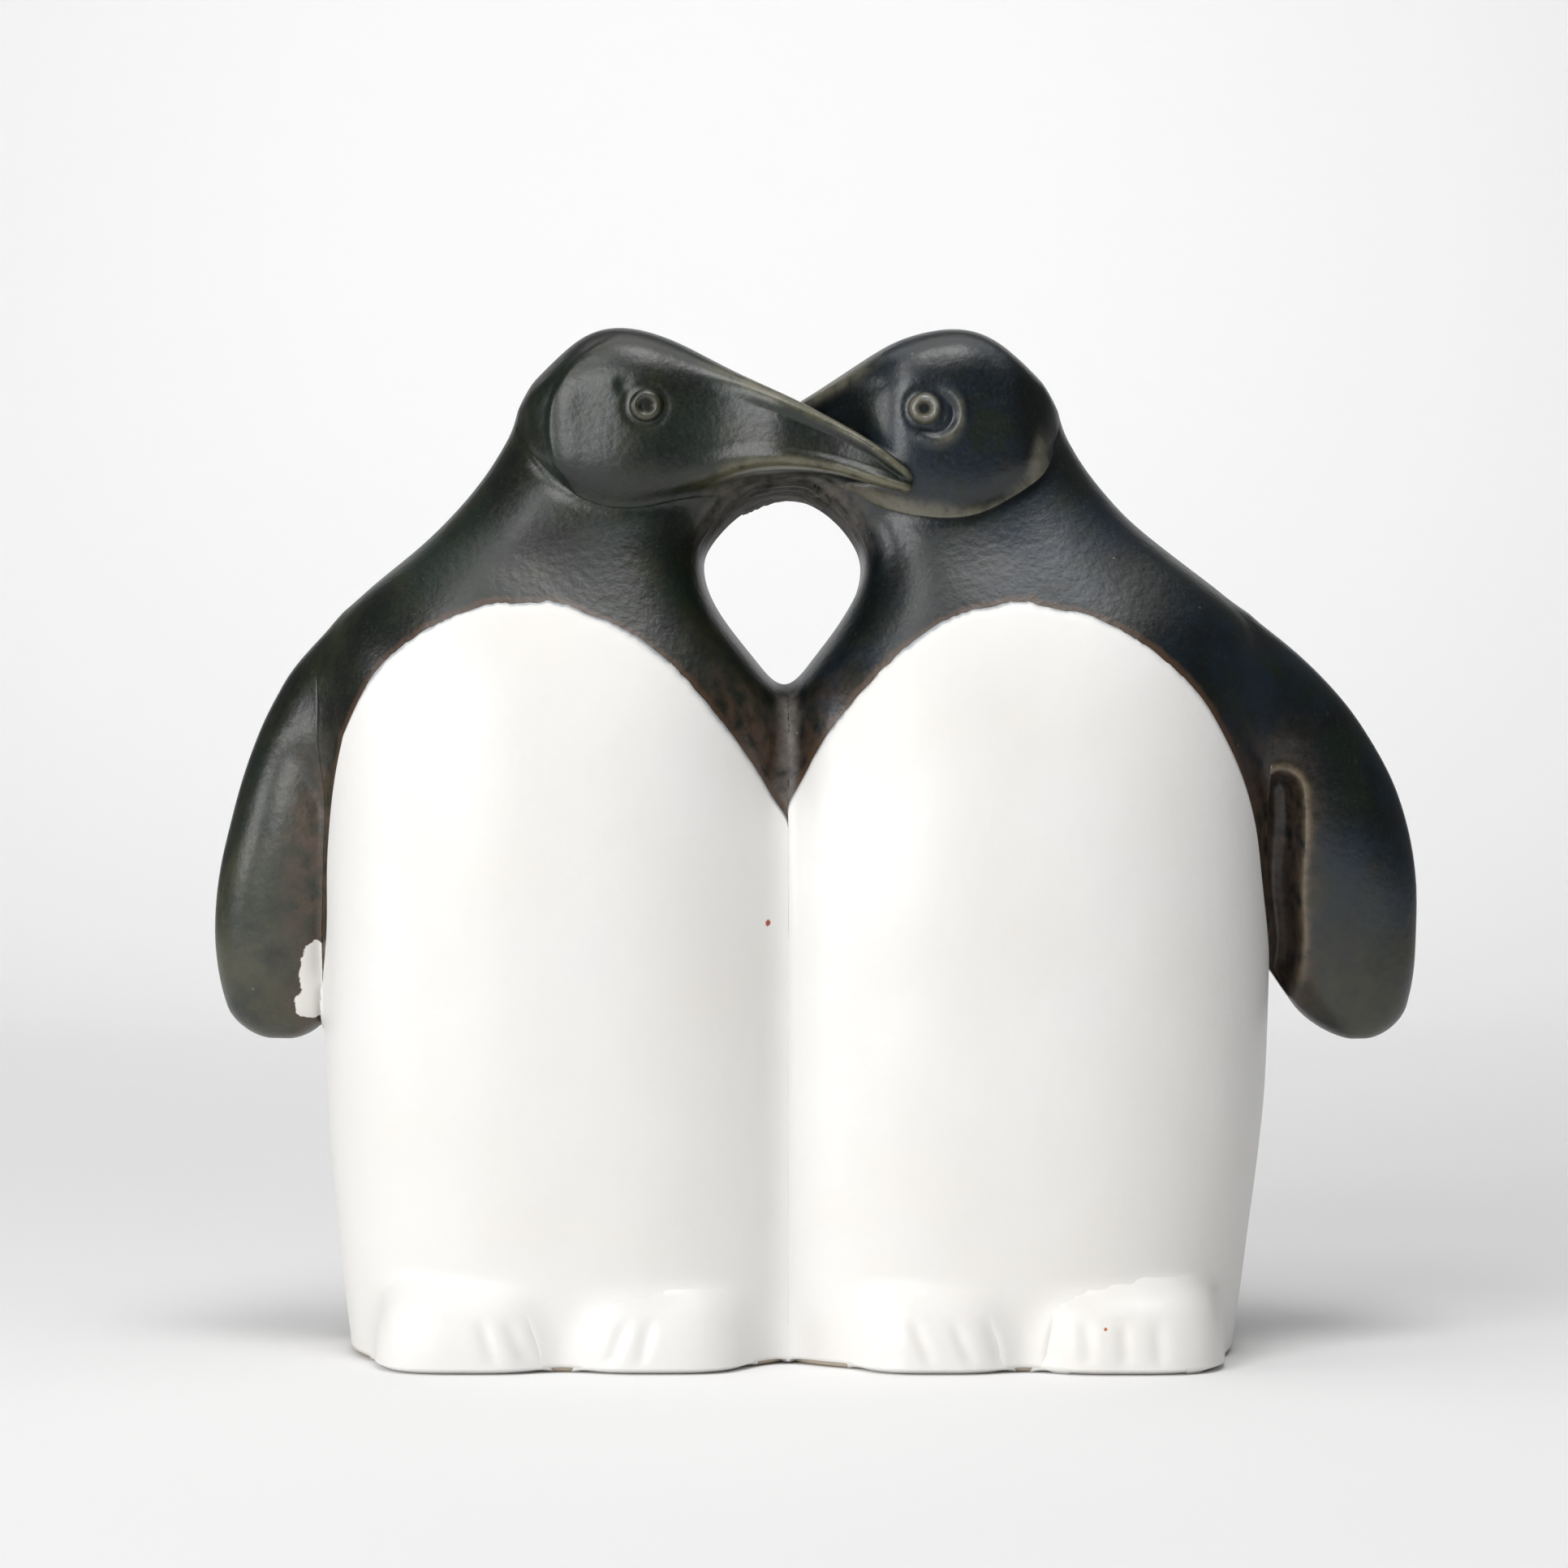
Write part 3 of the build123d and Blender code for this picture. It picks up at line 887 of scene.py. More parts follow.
def lip_relief(side, bird):
    """Height of the lips and of the face sunk between them, and the share of glaze that runs thin.

    A lip is a bell curve of the distance from the section's upper or lower edge, narrower towards
    the beak's tip.
    """
    out = bird[..., 0]
    a, b, half = section_place(side, bird)
    on_beak = smooth_step(18.0, 4.0, out)
    ends = smooth_step(NAPE - 0.5, NAPE - 6.0, out) * smooth_step(0.25, 0.65, a)
    from_top = (1.0 - b) * half
    from_foot = (1.0 + b) * half
    wide = 0.55 + 0.85 * smooth_step(1.5, 11.0, half)
    lower = bell(from_foot - 0.9 * wide, wide) * smooth_step(*lip_end[side], out)
    upper = on_beak * bell(from_top - 1.5 * wide, 1.1 * wide)
    sunk = smooth_step(1.4 * wide, 4.0 * wide, from_foot) * smooth_step(2.0 * wide, 4.2 * wide, from_top)
    lip = lip_height[side] + (BEAK_LIP_HEIGHT - lip_height[side]) * on_beak
    depth = FACE_DEPTH + BEAK_PANEL_DEPTH * on_beak
    relief = ends * (lip * (lower + upper) - flat_face(a) * depth * sunk)
    lower_share = lip_share[side] + (1.0 - lip_share[side]) * on_beak
    return relief, ends * (lower_share * lower + UPPER_LIP_SHARE * upper)


# %% Marks by the eyes
eye_place = {"left": (19.0, 128.2), "right": (18.4, 127.8)}
eye_radius = {"left": 2.6, "right": 2.5}
SOCKET_DEPTH = 0.15
DENT_PLACE = (22.0, 130.9)
DENT_DEPTH = 0.30
DISC_PLACE = (20.0, 125.6)
DISC_RADIUS = 12.3
DISC_STEP = 0.45
ROLL_PLACE = (23.6, 124.4)
ROLL_RADIUS = 10.4
ROLL_HEIGHT = 0.75
ROLL_FURROW = 0.35
ROLL_SHARE = 0.9
RIM_PLACE = (19.7, 127.2)
RIM_RADIUS = 3.7
RIM_HEIGHT = 0.45
RIM_FURROW = 0.25
RIM_SHARE = 0.6


def from_circle(bird, place, radius=0.0):
    """Distance outwards from a circle on a head's side."""
    return np.hypot(bird[..., 0] - place[0], bird[..., 2] - place[1]) - radius


def left_eye_marks(bird, a):
    """A tool's dent above the left eye, and the step behind the face, pressed in past a disc."""
    relief = -DENT_DEPTH * bell(from_circle(bird, DENT_PLACE), 1.1)
    past_disc = smooth_step(-0.3, 1.0, from_circle(bird, DISC_PLACE, DISC_RADIUS))
    relief = relief - DISC_STEP * past_disc * smooth_step(22.0, 27.0, bird[..., 0])
    return flat_face(a) * relief, 0.0


def right_eye_marks(bird, a):
    """The rolled cheek and the rim on the nape side of the right eye: bell curves about circles."""
    out, height = bird[..., 0], bird[..., 2]
    from_roll = from_circle(bird, ROLL_PLACE, ROLL_RADIUS)
    behind = smooth_step(20.0, 26.0, out) * smooth_step(0.25, 0.65, a) * smooth_step(128.0, 121.0, height)
    relief = behind * (ROLL_HEIGHT * bell(from_roll, 1.1) - ROLL_FURROW * bell(from_roll - 1.9, 0.9))
    from_rim = from_circle(bird, RIM_PLACE, RIM_RADIUS)
    nape_side = (out - RIM_PLACE[0] + 0.6 * (RIM_PLACE[1] - height)) / RIM_RADIUS
    rim = flat_face(a) * smooth_step(-0.5, 0.9, nape_side)
    relief = relief + rim * (RIM_HEIGHT * bell(from_rim, 0.8) - RIM_FURROW * bell(from_rim + 1.2, 0.5))
    return relief, behind * ROLL_SHARE * bell(from_roll, 1.0) + rim * RIM_SHARE * bell(from_rim, 0.7)


def head_relief(side, points):
    """Height of all marks above a head's plain skin, and the share of glaze that runs thin."""
    bird = to_bird(side, points)
    a, _, _ = section_place(side, bird)
    relief, thin = lip_relief(side, bird)
    socket = bell(from_circle(bird, eye_place[side], eye_radius[side]) - 0.2, 0.6)
    marks, marks_thin = {"left": left_eye_marks, "right": right_eye_marks}[side](bird, a)
    return relief - flat_face(a) * SOCKET_DEPTH * socket + marks, thin + marks_thin


# %% Build the heads
CEILING_GIVE = 0.6

for side in TURN:
    grid = lump_grid(heads[side], 270, 320, cap_rows=22)
    relief, ridge = head_relief(side, grid)
    dry = gap_ceiling(grid)[0]
    bird = to_bird(side, grid)
    sunk = CEILING_GIVE * dry * smooth_step(0.3, -0.7, bird[..., 0] + bird[..., 1])
    other = OTHER[side]
    own = [(heads[side], 0.0), (bridge, NARROW_BLEND)]
    near = [(heads[other], HEADS_BLEND), (bodies[side], neck_blend), (bodies[other], neck_blend)]
    grid = smooth_joins(grid, own, near, relief - sunk, clay_marks)
    pieces[f"{side}_head"] = lump_mesh(f"{side}_head_skin", grid, {"ridge": ridge, "dry": dry})

# %% [markdown]
# ## Eyes
#
# An eye is a pellet of clay pressed onto the face and pricked in the middle. It is a profile
# turned round the eye's axis: up its side, over a rounded crest and down into the prick.


# %% Build the eyes
crest_radius = {"left": 1.45, "right": 1.40}
crest_height = {"left": 0.65, "right": 0.95}
# A crest share above 0.8 reaches the pale crest colour, a painted highlight: the right eye's 1.4 gives its
# button a painted glint.
crest_break_and_highlight_share = {"left": 0.45, "right": 1.4}
PRICK_DEPTH = 0.25
EYE_EDGE_DROP = 0.5
EYE_UNDERSIDE = -1.0
EYE_SEAT = 0.30
EYE_SQUASH = 0.97


def eye_grid(side, facing, columns=72):
    """Turned profile of a pellet: a bell-shaped crest about a circle, and a prick in its middle."""
    radius = eye_radius[side]
    r = np.concatenate([np.linspace(0.0, radius, 6), np.linspace(radius, 0.0, 44)])
    crest = bell(r - crest_radius[side], 0.75)
    height = crest_height[side] * crest - PRICK_DEPTH * bell(r, 0.9)
    height -= EYE_EDGE_DROP * smooth_step(radius - 0.7, radius, r)
    height[:6] = EYE_UNDERSIDE
    angle = np.linspace(0.0, 2 * np.pi, columns, endpoint=False)
    out = eye_place[side][0] + r[:, None] * np.cos(angle)
    up = eye_place[side][1] + r[:, None] * np.sin(angle) * EYE_SQUASH
    across = TURN[side] * facing * (HEAD_DEPTH / 2 - EYE_SEAT + height)[:, None]
    return to_row(side, out, across, up), (crest_break_and_highlight_share[side] * crest)[:, None] + 0.0 * angle


for side in TURN:
    for facing, word in ((-1.0, "front"), (1.0, "back")):
        grid, crest = eye_grid(side, facing)
        name = f"{side}_{word}_eye"
        pieces[name] = lump_mesh(f"{name}_pellet", grid, {"ridge": crest})

# %% [markdown]
# ## Flipper skins
#
# The flippers melt into the shoulders. On the right bird the front of the web lies deep between
# the body and a thin ridge, so that the front of that flipper is pushed back inside the ridge.


# %% Build the flippers
SLOT_TOP = 76.5
SLOT_MIDDLE = 67.3
SLOT_LEAN = 0.7
SLOT_WAVER = 0.25
SLOT_HALF = 2.9
SLOT_NARROWING = 0.9
SLOT_DEPTH = 4.2
SLOT_RIM = 0.40
SLOT_DRY_SHARE = 0.4
white_runs = ((64.4, 51.6, 2.6, 4.8), (65.4, 47.4, 2.3, 2.2))
RUN_START = 0.7
RUN_BACK = 4.0


def web_slot(points):
    """Sink a slot with a rolled rim into the front of the right flipper. Then: shares of rim and floor.

    The distance from the slot's middle line, round its upper end too, gives the depth: full within
    a quarter of the half width, none past it, with a bell-shaped rim just outside.
    """
    bird = to_bird("right", points)
    out, across, height = bird[..., 0], bird[..., 1], bird[..., 2]
    middle = SLOT_MIDDLE + SLOT_LEAN * smooth_step(72.0, 55.0, height) + SLOT_WAVER * np.sin(height / 2.7)
    half = SLOT_HALF - SLOT_NARROWING * smooth_step(70.0, 50.0, height)
    aside = out - middle
    above = np.maximum(height - SLOT_TOP, 0.0)
    away = np.hypot(aside, above)
    facing = smooth_step(0.0, -4.0, across)
    floor = facing * (1.0 - smooth_step(0.25 * half, half, away))
    rim_side = smooth_step(-1.0, 1.5, aside + 1.2 * above) * smooth_step(45.0, 56.0, height)
    rim = rim_side * facing * bell(away - half - 0.35, 0.6)
    return to_row("right", out, across + SLOT_DEPTH * floor - SLOT_RIM * rim, height), rim, floor


def white_slop(points):
    """RUN_START and the millimetres inside the ovals that the white ran over, low on the left flipper."""
    bird = to_bird("left", points)
    out, across, height = bird[..., 0], bird[..., 1], bird[..., 2]
    inside = [
        min(half_out, half_up) * (1.0 - np.hypot((out - run_out) / half_out, (height - run_up) / half_up))
        for run_out, run_up, half_out, half_up in white_runs
    ]
    return RUN_START + np.minimum(np.max(inside, axis=0), across + RUN_BACK)


for side in TURN:
    grid = lump_grid(flippers[side], 200, 250, cap_rows=18)
    grid = smooth_joins(grid, flippers[side], [(bodies[side], shoulder_blend)], 0.0, clay_marks)
    marks = glaze_marks(side, grid)
    if side == "right":
        grid, marks["rim"], floor = web_slot(grid)
        marks["warm"] = np.maximum(marks["warm"], floor)
        marks["dry"] = np.maximum(marks["dry"], SLOT_DRY_SHARE * floor)
    else:
        marks["slop"] = white_slop(grid)
    pieces[f"{side}_flipper"] = lump_mesh(f"{side}_flipper_skin", grid, marks)

# %% [markdown]
# ## Feet and toes
#
# The white glaze covers the feet too. The toes are lines pressed into the front, each leaning a
# little.

# %% Build the feet
toe_lines = {
    "left_outer_foot": ((-44.0, -42.6), (-40.6, -38.6), (-37.2, -35.5)),
    "left_inner_foot": ((-25.2, -26.9), (-22.1, -23.1)),
    "right_inner_foot": ((9.1, 9.8), (12.8, 14.5), (18.0, 19.8), (22.4, 23.8)),
    "right_outer_foot": ((30.0, 30.7), (35.2, 35.5), (40.0, 40.3), (44.5, 44.8)),
}
TOE_TOP = 6.6
TOE_FOOT = 2.1
TOE_DEPTH = 0.30
TOE_WIDTH = 1.0
FOOT_LEAST = 0.05
GLAZED_FINGER_DEPTH = 0.12


def toe_relief(name, points):
    """Depth of the toe lines: a rounded furrow about each line, gone above the toes."""
    x, y, z = points[..., 0], points[..., 1], points[..., 2]
    relief = 0.0 * x
    for top_x, foot_x in toe_lines[name]:
        middle = top_x + (foot_x - top_x) * (TOE_TOP - z) / (TOE_TOP - TOE_FOOT)
        relief -= TOE_DEPTH * bell(x - middle, TOE_WIDTH)
    return relief * smooth_step(8.0, 5.0, z) * smooth_step(0.6, 2.5, z) * smooth_step(-20.0, -24.0, y)


def glaze_swell(points):
    """Under the white glaze the finger marks are half as deep."""
    return finger_marks(points, GLAZED_FINGER_DEPTH)


for name, form in feet.items():
    grid = lump_grid(form, 120, 190, cap_rows=16)
    near = [bodies[form["side"]]] + [other for other in feet.values() if other is not form]
    near = [(lump, FOOT_BLEND) for lump in near]
    grid = smooth_joins(grid, form, near, COAT + toe_relief(name, grid), glaze_swell)
    grid[..., 2] = np.maximum(grid[..., 2], FOOT_LEAST)
    pieces[name] = lump_mesh(f"{name}_skin", grid, {})

# %% [markdown]
# ## White coats
#
# A coat is a closed sheet: an outer skin above the clay, an inner one just under it. Towards the
# arch it thins out and dips under the dark skin, which draws the edge that shows.


# %% Build the white coats
COAT_EDGE = -0.12
COAT_EDGE_WIDTH = 1.3
COAT_UNDERSIDE = -0.5
COAT_FOOT = 0.3
COAT_LOW_END = -9.0


def sheet_mesh(name, outer, inner, marks):
    """Closed sheet from two grids of the same shape, joined along their four edges."""
    rows, columns = outer.shape[:2]
    top = np.arange(rows * columns).reshape(rows, columns)
    below = top + rows * columns

    def squares(grid):
        return np.stack([grid[:-1, :-1], grid[1:, :-1], grid[1:, 1:], grid[:-1, 1:]], -1).reshape(-1, 4)

    def edge(a, b):
        return np.stack([a[:-1], a[1:], b[1:], b[:-1]], -1)

    faces = [squares(top), squares(below)[:, ::-1]]
    faces += [edge(top[0], below[0]), edge(below[-1], top[-1])]
    faces += [edge(below[:, 0], top[:, 0]), edge(top[:, -1], below[:, -1])]
    points = np.concatenate([outer.reshape(-1, 3), inner.reshape(-1, 3)])
    point_marks = {mark: np.tile(values.ravel(), 2) for mark, values in marks.items()}
    return build_mesh(name, points, faces, point_marks)


def belly_grid(side, rows=175, columns=225):
    """Coons patch: blend of facing edges, less the blend of the four corners."""
    base, arch, _, _ = belly_edges(side, columns)
    _, _, groove, flipper_side = belly_edges(side, rows)
    s = np.linspace(0.0, 1.0, columns)[None, :, None]
    t = np.linspace(0.0, 1.0, rows)[:, None, None]
    upward = (1 - t) * base[None] + t * arch[None]
    outward = (1 - s) * groove[:, None] + s * flipper_side[:, None]
    corners = (1 - t) * ((1 - s) * base[0] + s * base[-1]) + t * ((1 - s) * arch[0] + s * arch[-1])
    return on_body(side, upward + outward - corners)


for side in TURN:
    grid = belly_grid(side)
    upright = dict(bodies[side], ends=(COAT_LOW_END, BODY_TOP))
    from_edge = distance_to_line(grid.reshape(-1, 3), white_lines[side]).reshape(grid.shape[:2])
    level = COAT_EDGE + (COAT - COAT_EDGE) * smooth_step(0.0, COAT_EDGE_WIDTH, from_edge)
    sheets = []
    for height in (level, COAT_UNDERSIDE):
        sheet = smooth_joins(grid, upright, body_neighbours(side), height, glaze_swell)
        sheet = keep_to_side(side, sheet, PRESS_PLANE)
        sheet[..., 2] = np.maximum(sheet[..., 2], COAT_FOOT)
        sheets.append(sheet)
    name = f"{side}_belly_glaze"
    pieces[name] = sheet_mesh(f"{name}_coat", *sheets, {"fringe": from_edge})

# %% [markdown]
# ## Dark glaze
#
# The dark glaze is nearly black in the middle of a face, breaks to olive and tan where it runs
# thin over ridges, drifts to green or blue, and goes brown where it meets the white. One colour
# with a gloss would miss all of that, so the colour follows the shares kept with the skin, the
# distance to the white, and cloudy noise.


# %% Node helpers
def add_node(tree, kind, inputs=None, **settings):
    """One shader node with its settings and with values or links on its inputs."""
    node = tree.nodes.new(kind)
    for key, value in settings.items():
        setattr(node, key, value)
    for key, value in (inputs or {}).items():
        if isinstance(value, bpy.types.NodeSocket):
            tree.links.new(value, node.inputs[key])
        else:
            node.inputs[key].default_value = value
    return node


def blend_colours(tree, share, first, second):
    """Colour between two colours or links, by a share."""
    mix = add_node(tree, "ShaderNodeMix", data_type="RGBA")
    for socket, value in ((mix.inputs[0], share), (mix.inputs[6], first), (mix.inputs[7], second)):
        if isinstance(value, bpy.types.NodeSocket):
            tree.links.new(value, socket)
        else:
            socket.default_value = value
    return mix.outputs[2]


def ramp_share(tree, value, low, high):
    """0 at low, 1 at high, smooth between."""
    inputs = {"Value": value, "From Min": low, "From Max": high}
    return add_node(tree, "ShaderNodeMapRange", inputs, interpolation_type="SMOOTHSTEP").outputs[0]


def combine(tree, operation, *values):
    """Sum, difference or product of numbers or links."""
    return add_node(tree, "ShaderNodeMath", dict(enumerate(values)), operation=operation).outputs[0]


def mark(tree, name):
    """A number kept with the points of a mesh, 0 where the mesh has none."""
    return add_node(tree, "ShaderNodeAttribute", attribute_name=name).outputs["Fac"]


def mottle(tree, place, scale, detail=3.0, rough=0.55):
    """Cloudy noise over the object, in blobs of one over the scale in metres."""
    inputs = {"Vector": place, "Scale": scale, "Detail": detail, "Roughness": rough}
    return add_node(tree, "ShaderNodeTexNoise", inputs).outputs["Fac"]


def specks(tree, place, scale, kept, dot):
    """Share of specks: round dots in a few of the cells of a scattered pattern."""
    cells = add_node(tree, "ShaderNodeTexVoronoi", {"Vector": place, "Scale": scale})
    keep = ramp_share(tree, cells.outputs["Color"], *kept)
    return combine(tree, "MULTIPLY", keep, ramp_share(tree, cells.outputs["Distance"], *dot))


def oval_radius(tree, place, middle, half_size):
    """Length of (place - middle) / half size: 1 on an oval about the middle."""
    offset = add_node(tree, "ShaderNodeVectorMath", {0: place, 1: middle}, operation="SUBTRACT")
    inputs = {0: offset.outputs[0], 1: half_size}
    offset = add_node(tree, "ShaderNodeVectorMath", inputs, operation="DIVIDE")
    length = add_node(tree, "ShaderNodeVectorMath", {0: offset.outputs[0]}, operation="LENGTH")
    return length.outputs["Value"]


def start_glaze(name, roughness, ior):
    """New material with its shader, and the object's own coordinates."""
    material = bpy.data.materials.new(name)
    material.use_nodes = True
    tree = material.node_tree
    shader = tree.nodes["Principled BSDF"]
    shader.inputs["Roughness"].default_value = roughness
    shader.inputs["IOR"].default_value = ior
    place = add_node(tree, "ShaderNodeTexCoord").outputs["Object"]
    return material, tree, shader, place


def glaze_bump(tree, shader, place, fine, wide):
    """Orange-peel and slow swell of a fired glaze, as a bump in metres."""
    bump = None
    for scale, distance in ((900.0, fine), (160.0, wide)):
        inputs = {"Height": mottle(tree, place, scale, 2.0), "Distance": distance, "Strength": 1.0}
        if bump is not None:
            inputs["Normal"] = bump
        bump = add_node(tree, "ShaderNodeBump", inputs).outputs[0]
    tree.links.new(bump, shader.inputs["Normal"])


# %% Colours of the dark glaze
OLIVE = (0.050, 0.049, 0.026, 1)
RUST = (0.085, 0.052, 0.034, 1)
CREST_PAINTED_HIGHLIGHT = (0.30, 0.32, 0.31, 1)
TAN = (0.160, 0.128, 0.084, 1)
DRY_GREY = (0.13, 0.115, 0.10, 1)
FINE_GRAIN = (0.022, 0.024, 0.018, 1)
PALE_SPECK = (0.16, 0.15, 0.11, 1)
FRINGE_BROWN = (0.060, 0.034, 0.019, 1)
RUN_WHITE = (0.80, 0.78, 0.74, 1)
BARE_CLAY = (0.55, 0.47, 0.38, 1)
CLAY_LINE = (0.0011, 0.0005)
GLOSS_SPAN = (0.28, 0.41)
DRY_MATT = 0.25
dark_colours = {
    "left": {
        "deep": (0.0012, 0.0028, 0.0014, 1),
        "tint": (0.0014, 0.0090, 0.0048, 1),
        "patch": (0.009, 0.0115, 0.0030, 1),
        "edge": (0.120, 0.112, 0.068, 1),
    },
    "right": {
        "deep": (0.0003, 0.0022, 0.0028, 1),
        "tint": (0.0003, 0.0080, 0.0175, 1),
        "patch": (0.0022, 0.0068, 0.0030, 1),
        "edge": (0.125, 0.118, 0.085, 1),
    },
}


# %% Dark glaze on each bird
def fired_colour(tree, patches, clouds, breaks, colours):
    """Deep colour with clouds and patches, thin olive and brown drifts, olive worn ridges with a painted
    highlight on the highest crests, and dry clay.
    """

    def layer(colour, name, span, over, noise=breaks):
        """Lay a colour over another by a mark, broken up by noise."""
        share = combine(tree, "MULTIPLY", mark(tree, name), ramp_share(tree, noise, *span))
        return blend_colours(tree, share, colour, over)

    colour = blend_colours(tree, ramp_share(tree, clouds, 0.42, 0.62), colours["deep"], colours["tint"])
    colour = blend_colours(tree, ramp_share(tree, patches, 0.47, 0.66), colour, colours["patch"])
    colour = layer(colour, "thin", (0.25, 0.65), OLIVE, patches)
    colour = layer(colour, "warm", (0.30, 0.70), RUST)
    worn = combine(tree, "MULTIPLY", mark(tree, "ridge"), ramp_share(tree, breaks, 0.05, 0.65))
    colour = blend_colours(tree, ramp_share(tree, worn, 0.05, 0.85), colour, colours["edge"])
    # Painted highlight: where the worn share passes 0.8, mostly on the right eye's button, the crest turns
    # pale grey-blue like a glint.
    colour = blend_colours(tree, ramp_share(tree, worn, 0.8, 1.7), colour, CREST_PAINTED_HIGHLIGHT)
    colour = layer(colour, "rim", (0.15, 0.60), TAN)
    return layer(colour, "dry", (0.20, 0.70), DRY_GREY)


def spotted_colour(tree, place, colour, breaks, grain):
    """Fine grain and specks, brown beside the white, the white that ran over, and bare clay below."""
    broken = ramp_share(tree, breaks, 0.40, 0.75)
    fine = combine(tree, "MULTIPLY", ramp_share(tree, grain, 0.52, 0.80), broken)
    colour = blend_colours(tree, fine, colour, FINE_GRAIN)
    colour = blend_colours(tree, specks(tree, place, 520.0, (0.82, 0.88), (0.12, 0.05)), colour, PALE_SPECK)
    fringe = mark(tree, "fringe")
    near = ramp_share(tree, combine(tree, "SUBTRACT", fringe, breaks), 0.65, -0.30)
    brown = combine(tree, "MULTIPLY", near, ramp_share(tree, fringe, 0.0, 0.02))
    colour = blend_colours(tree, brown, colour, FRINGE_BROWN)
    slop = combine(tree, "MULTIPLY_ADD", breaks, 1.6, mark(tree, "slop"))
    colour = blend_colours(tree, ramp_share(tree, slop, 1.35, 1.65), colour, FRINGE_BROWN)
    colour = blend_colours(tree, ramp_share(tree, slop, 1.65, 1.80), colour, RUN_WHITE)
    height = add_node(tree, "ShaderNodeSeparateXYZ", {0: place}).outputs[2]
    return blend_colours(tree, ramp_share(tree, height, *CLAY_LINE), colour, BARE_CLAY)


def dark_glaze(side):
    """Clouded and spotted colour, a satin gloss that dulls where the glaze is dry, and a bump."""
    material, tree, shader, place = start_glaze(f"{side}_dark_glaze", 0.32, 1.6)
    clouds = mottle(tree, place, 60.0, 6.0, 0.62)
    patches = mottle(tree, place, 130.0, 7.0, 0.66)
    breaks = mottle(tree, place, 420.0, 5.0, 0.62)
    grain = mottle(tree, place, 2000.0, 2.0)
    colour = fired_colour(tree, patches, clouds, breaks, dark_colours[side])
    colour = spotted_colour(tree, place, colour, breaks, grain)
    tree.links.new(colour, shader.inputs["Base Color"])
    inputs = {"Value": combine(tree, "ADD", clouds, grain), "From Min": 0.6, "From Max": 1.4}
    inputs.update({"To Min": GLOSS_SPAN[0], "To Max": GLOSS_SPAN[1]})
    gloss = add_node(tree, "ShaderNodeMapRange", inputs).outputs[0]
    matt = combine(tree, "MULTIPLY_ADD", mark(tree, "dry"), DRY_MATT, gloss)
    tree.links.new(matt, shader.inputs["Roughness"])
    glaze_bump(tree, shader, place, 0.00006, 0.00009)
    return material


dark = {side: dark_glaze(side) for side in TURN}
print("dark glazes:", [material.name for material in dark.values()])

# %% [markdown]
# ## White glaze
#
# The white is a thick satin glaze with a faint cream cast, a few iron specks, and a cooler, thinner
# edge against the dark. On the feet and bellies it is the same coat.


# %% White glaze
WHITE = (0.81, 0.802, 0.787, 1)
CREAM = (0.80, 0.78, 0.75, 1)
THIN_WHITE = (0.42, 0.45, 0.47, 1)
IRON_SPECK = (0.22, 0.11, 0.05, 1)
chips = [
    ((-0.0065, -0.030, 0.0590), (0.00045, 0.01, 0.00070), (0.36, 0.06, 0.03, 1)),
    ((0.0377, -0.032, 0.0061), (0.00022, 0.01, 0.00022), (0.45, 0.16, 0.04, 1)),
]


def white_glaze():
    """Cream clouds, a thin grey edge, iron specks, two chips down to the clay."""
    material, tree, shader, place = start_glaze("white_belly_glaze", 0.38, 1.5)
    fringe = mark(tree, "fringe")
    clouds = mottle(tree, place, 38.0, 4.0)
    grain = mottle(tree, place, 600.0, 3.0)
    colour = blend_colours(tree, ramp_share(tree, clouds, 0.35, 0.68), WHITE, CREAM)
    near = ramp_share(tree, combine(tree, "SUBTRACT", fringe, grain), 0.35, -0.25)
    thin = combine(tree, "MULTIPLY", near, ramp_share(tree, fringe, 0.0, 0.02))
    colour = blend_colours(tree, thin, colour, THIN_WHITE)
    colour = blend_colours(tree, specks(tree, place, 150.0, (0.90, 0.93), (0.030, 0.012)), colour, IRON_SPECK)
    for chip_place, chip_size, chip_colour in chips:
        ragged = combine(tree, "ADD", oval_radius(tree, place, chip_place, chip_size), grain)
        colour = blend_colours(tree, ramp_share(tree, ragged, 1.6, 1.3), colour, chip_colour)
    tree.links.new(colour, shader.inputs["Base Color"])
    gloss = add_node(tree, "ShaderNodeMapRange", {"Value": clouds, "To Min": 0.34, "To Max": 0.46})
    tree.links.new(gloss.outputs[0], shader.inputs["Roughness"])
    glaze_bump(tree, shader, place, 0.00003, 0.00010)
    return material


white = white_glaze()
print("white glaze:", white.name)

# %% [markdown]
# ## Putting the pieces in the frame
#
# Each new skin stands for the solid of the same name and rides on the one body of this ornament.

# %% Finish and place every piece
for name, piece in pieces.items():
    pale = name.endswith("foot") or name.endswith("glaze")
    piece.data.materials.append(white if pale else dark[name.split("_")[0]])
    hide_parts(name)
    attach(piece, "root")
print("pieces placed:", len(pieces))

# %% [markdown]
# ## Studio
#
# The photograph was taken on a white sweep under soft lamps. A flat floor with a far grey world would show a
# horizon, so a cove curves up behind the birds. Away from the birds the floor's colour greys, a painted
# fall-off of light, so that the dark glaze mirrors a dim room in front.

# %% White floor and back
PAPER_WHITE = (0.86, 0.86, 0.86, 1)
PAPER_PAINTED_FALLOFF_GREY = (0.38, 0.38, 0.38, 1)
LIT_POOL_MIDDLE = (0.0, 0.35, 0.0)
LIT_POOL_OVAL = (0.50, 0.70, 1e6)
FLOOR_HALF = 2.5
COVE_START = 0.7
COVE_RADIUS = 0.5
COVE_TOP = 0.8
COVE_HALF = 0.55


def strip_grid(profile, half_width, columns=20):
    """A profile of y and z carried across x."""
    x = np.linspace(-half_width, half_width, columns)
    return np.stack(np.broadcast_arrays(x[None], profile[:, :1], profile[:, 1:]), -1)


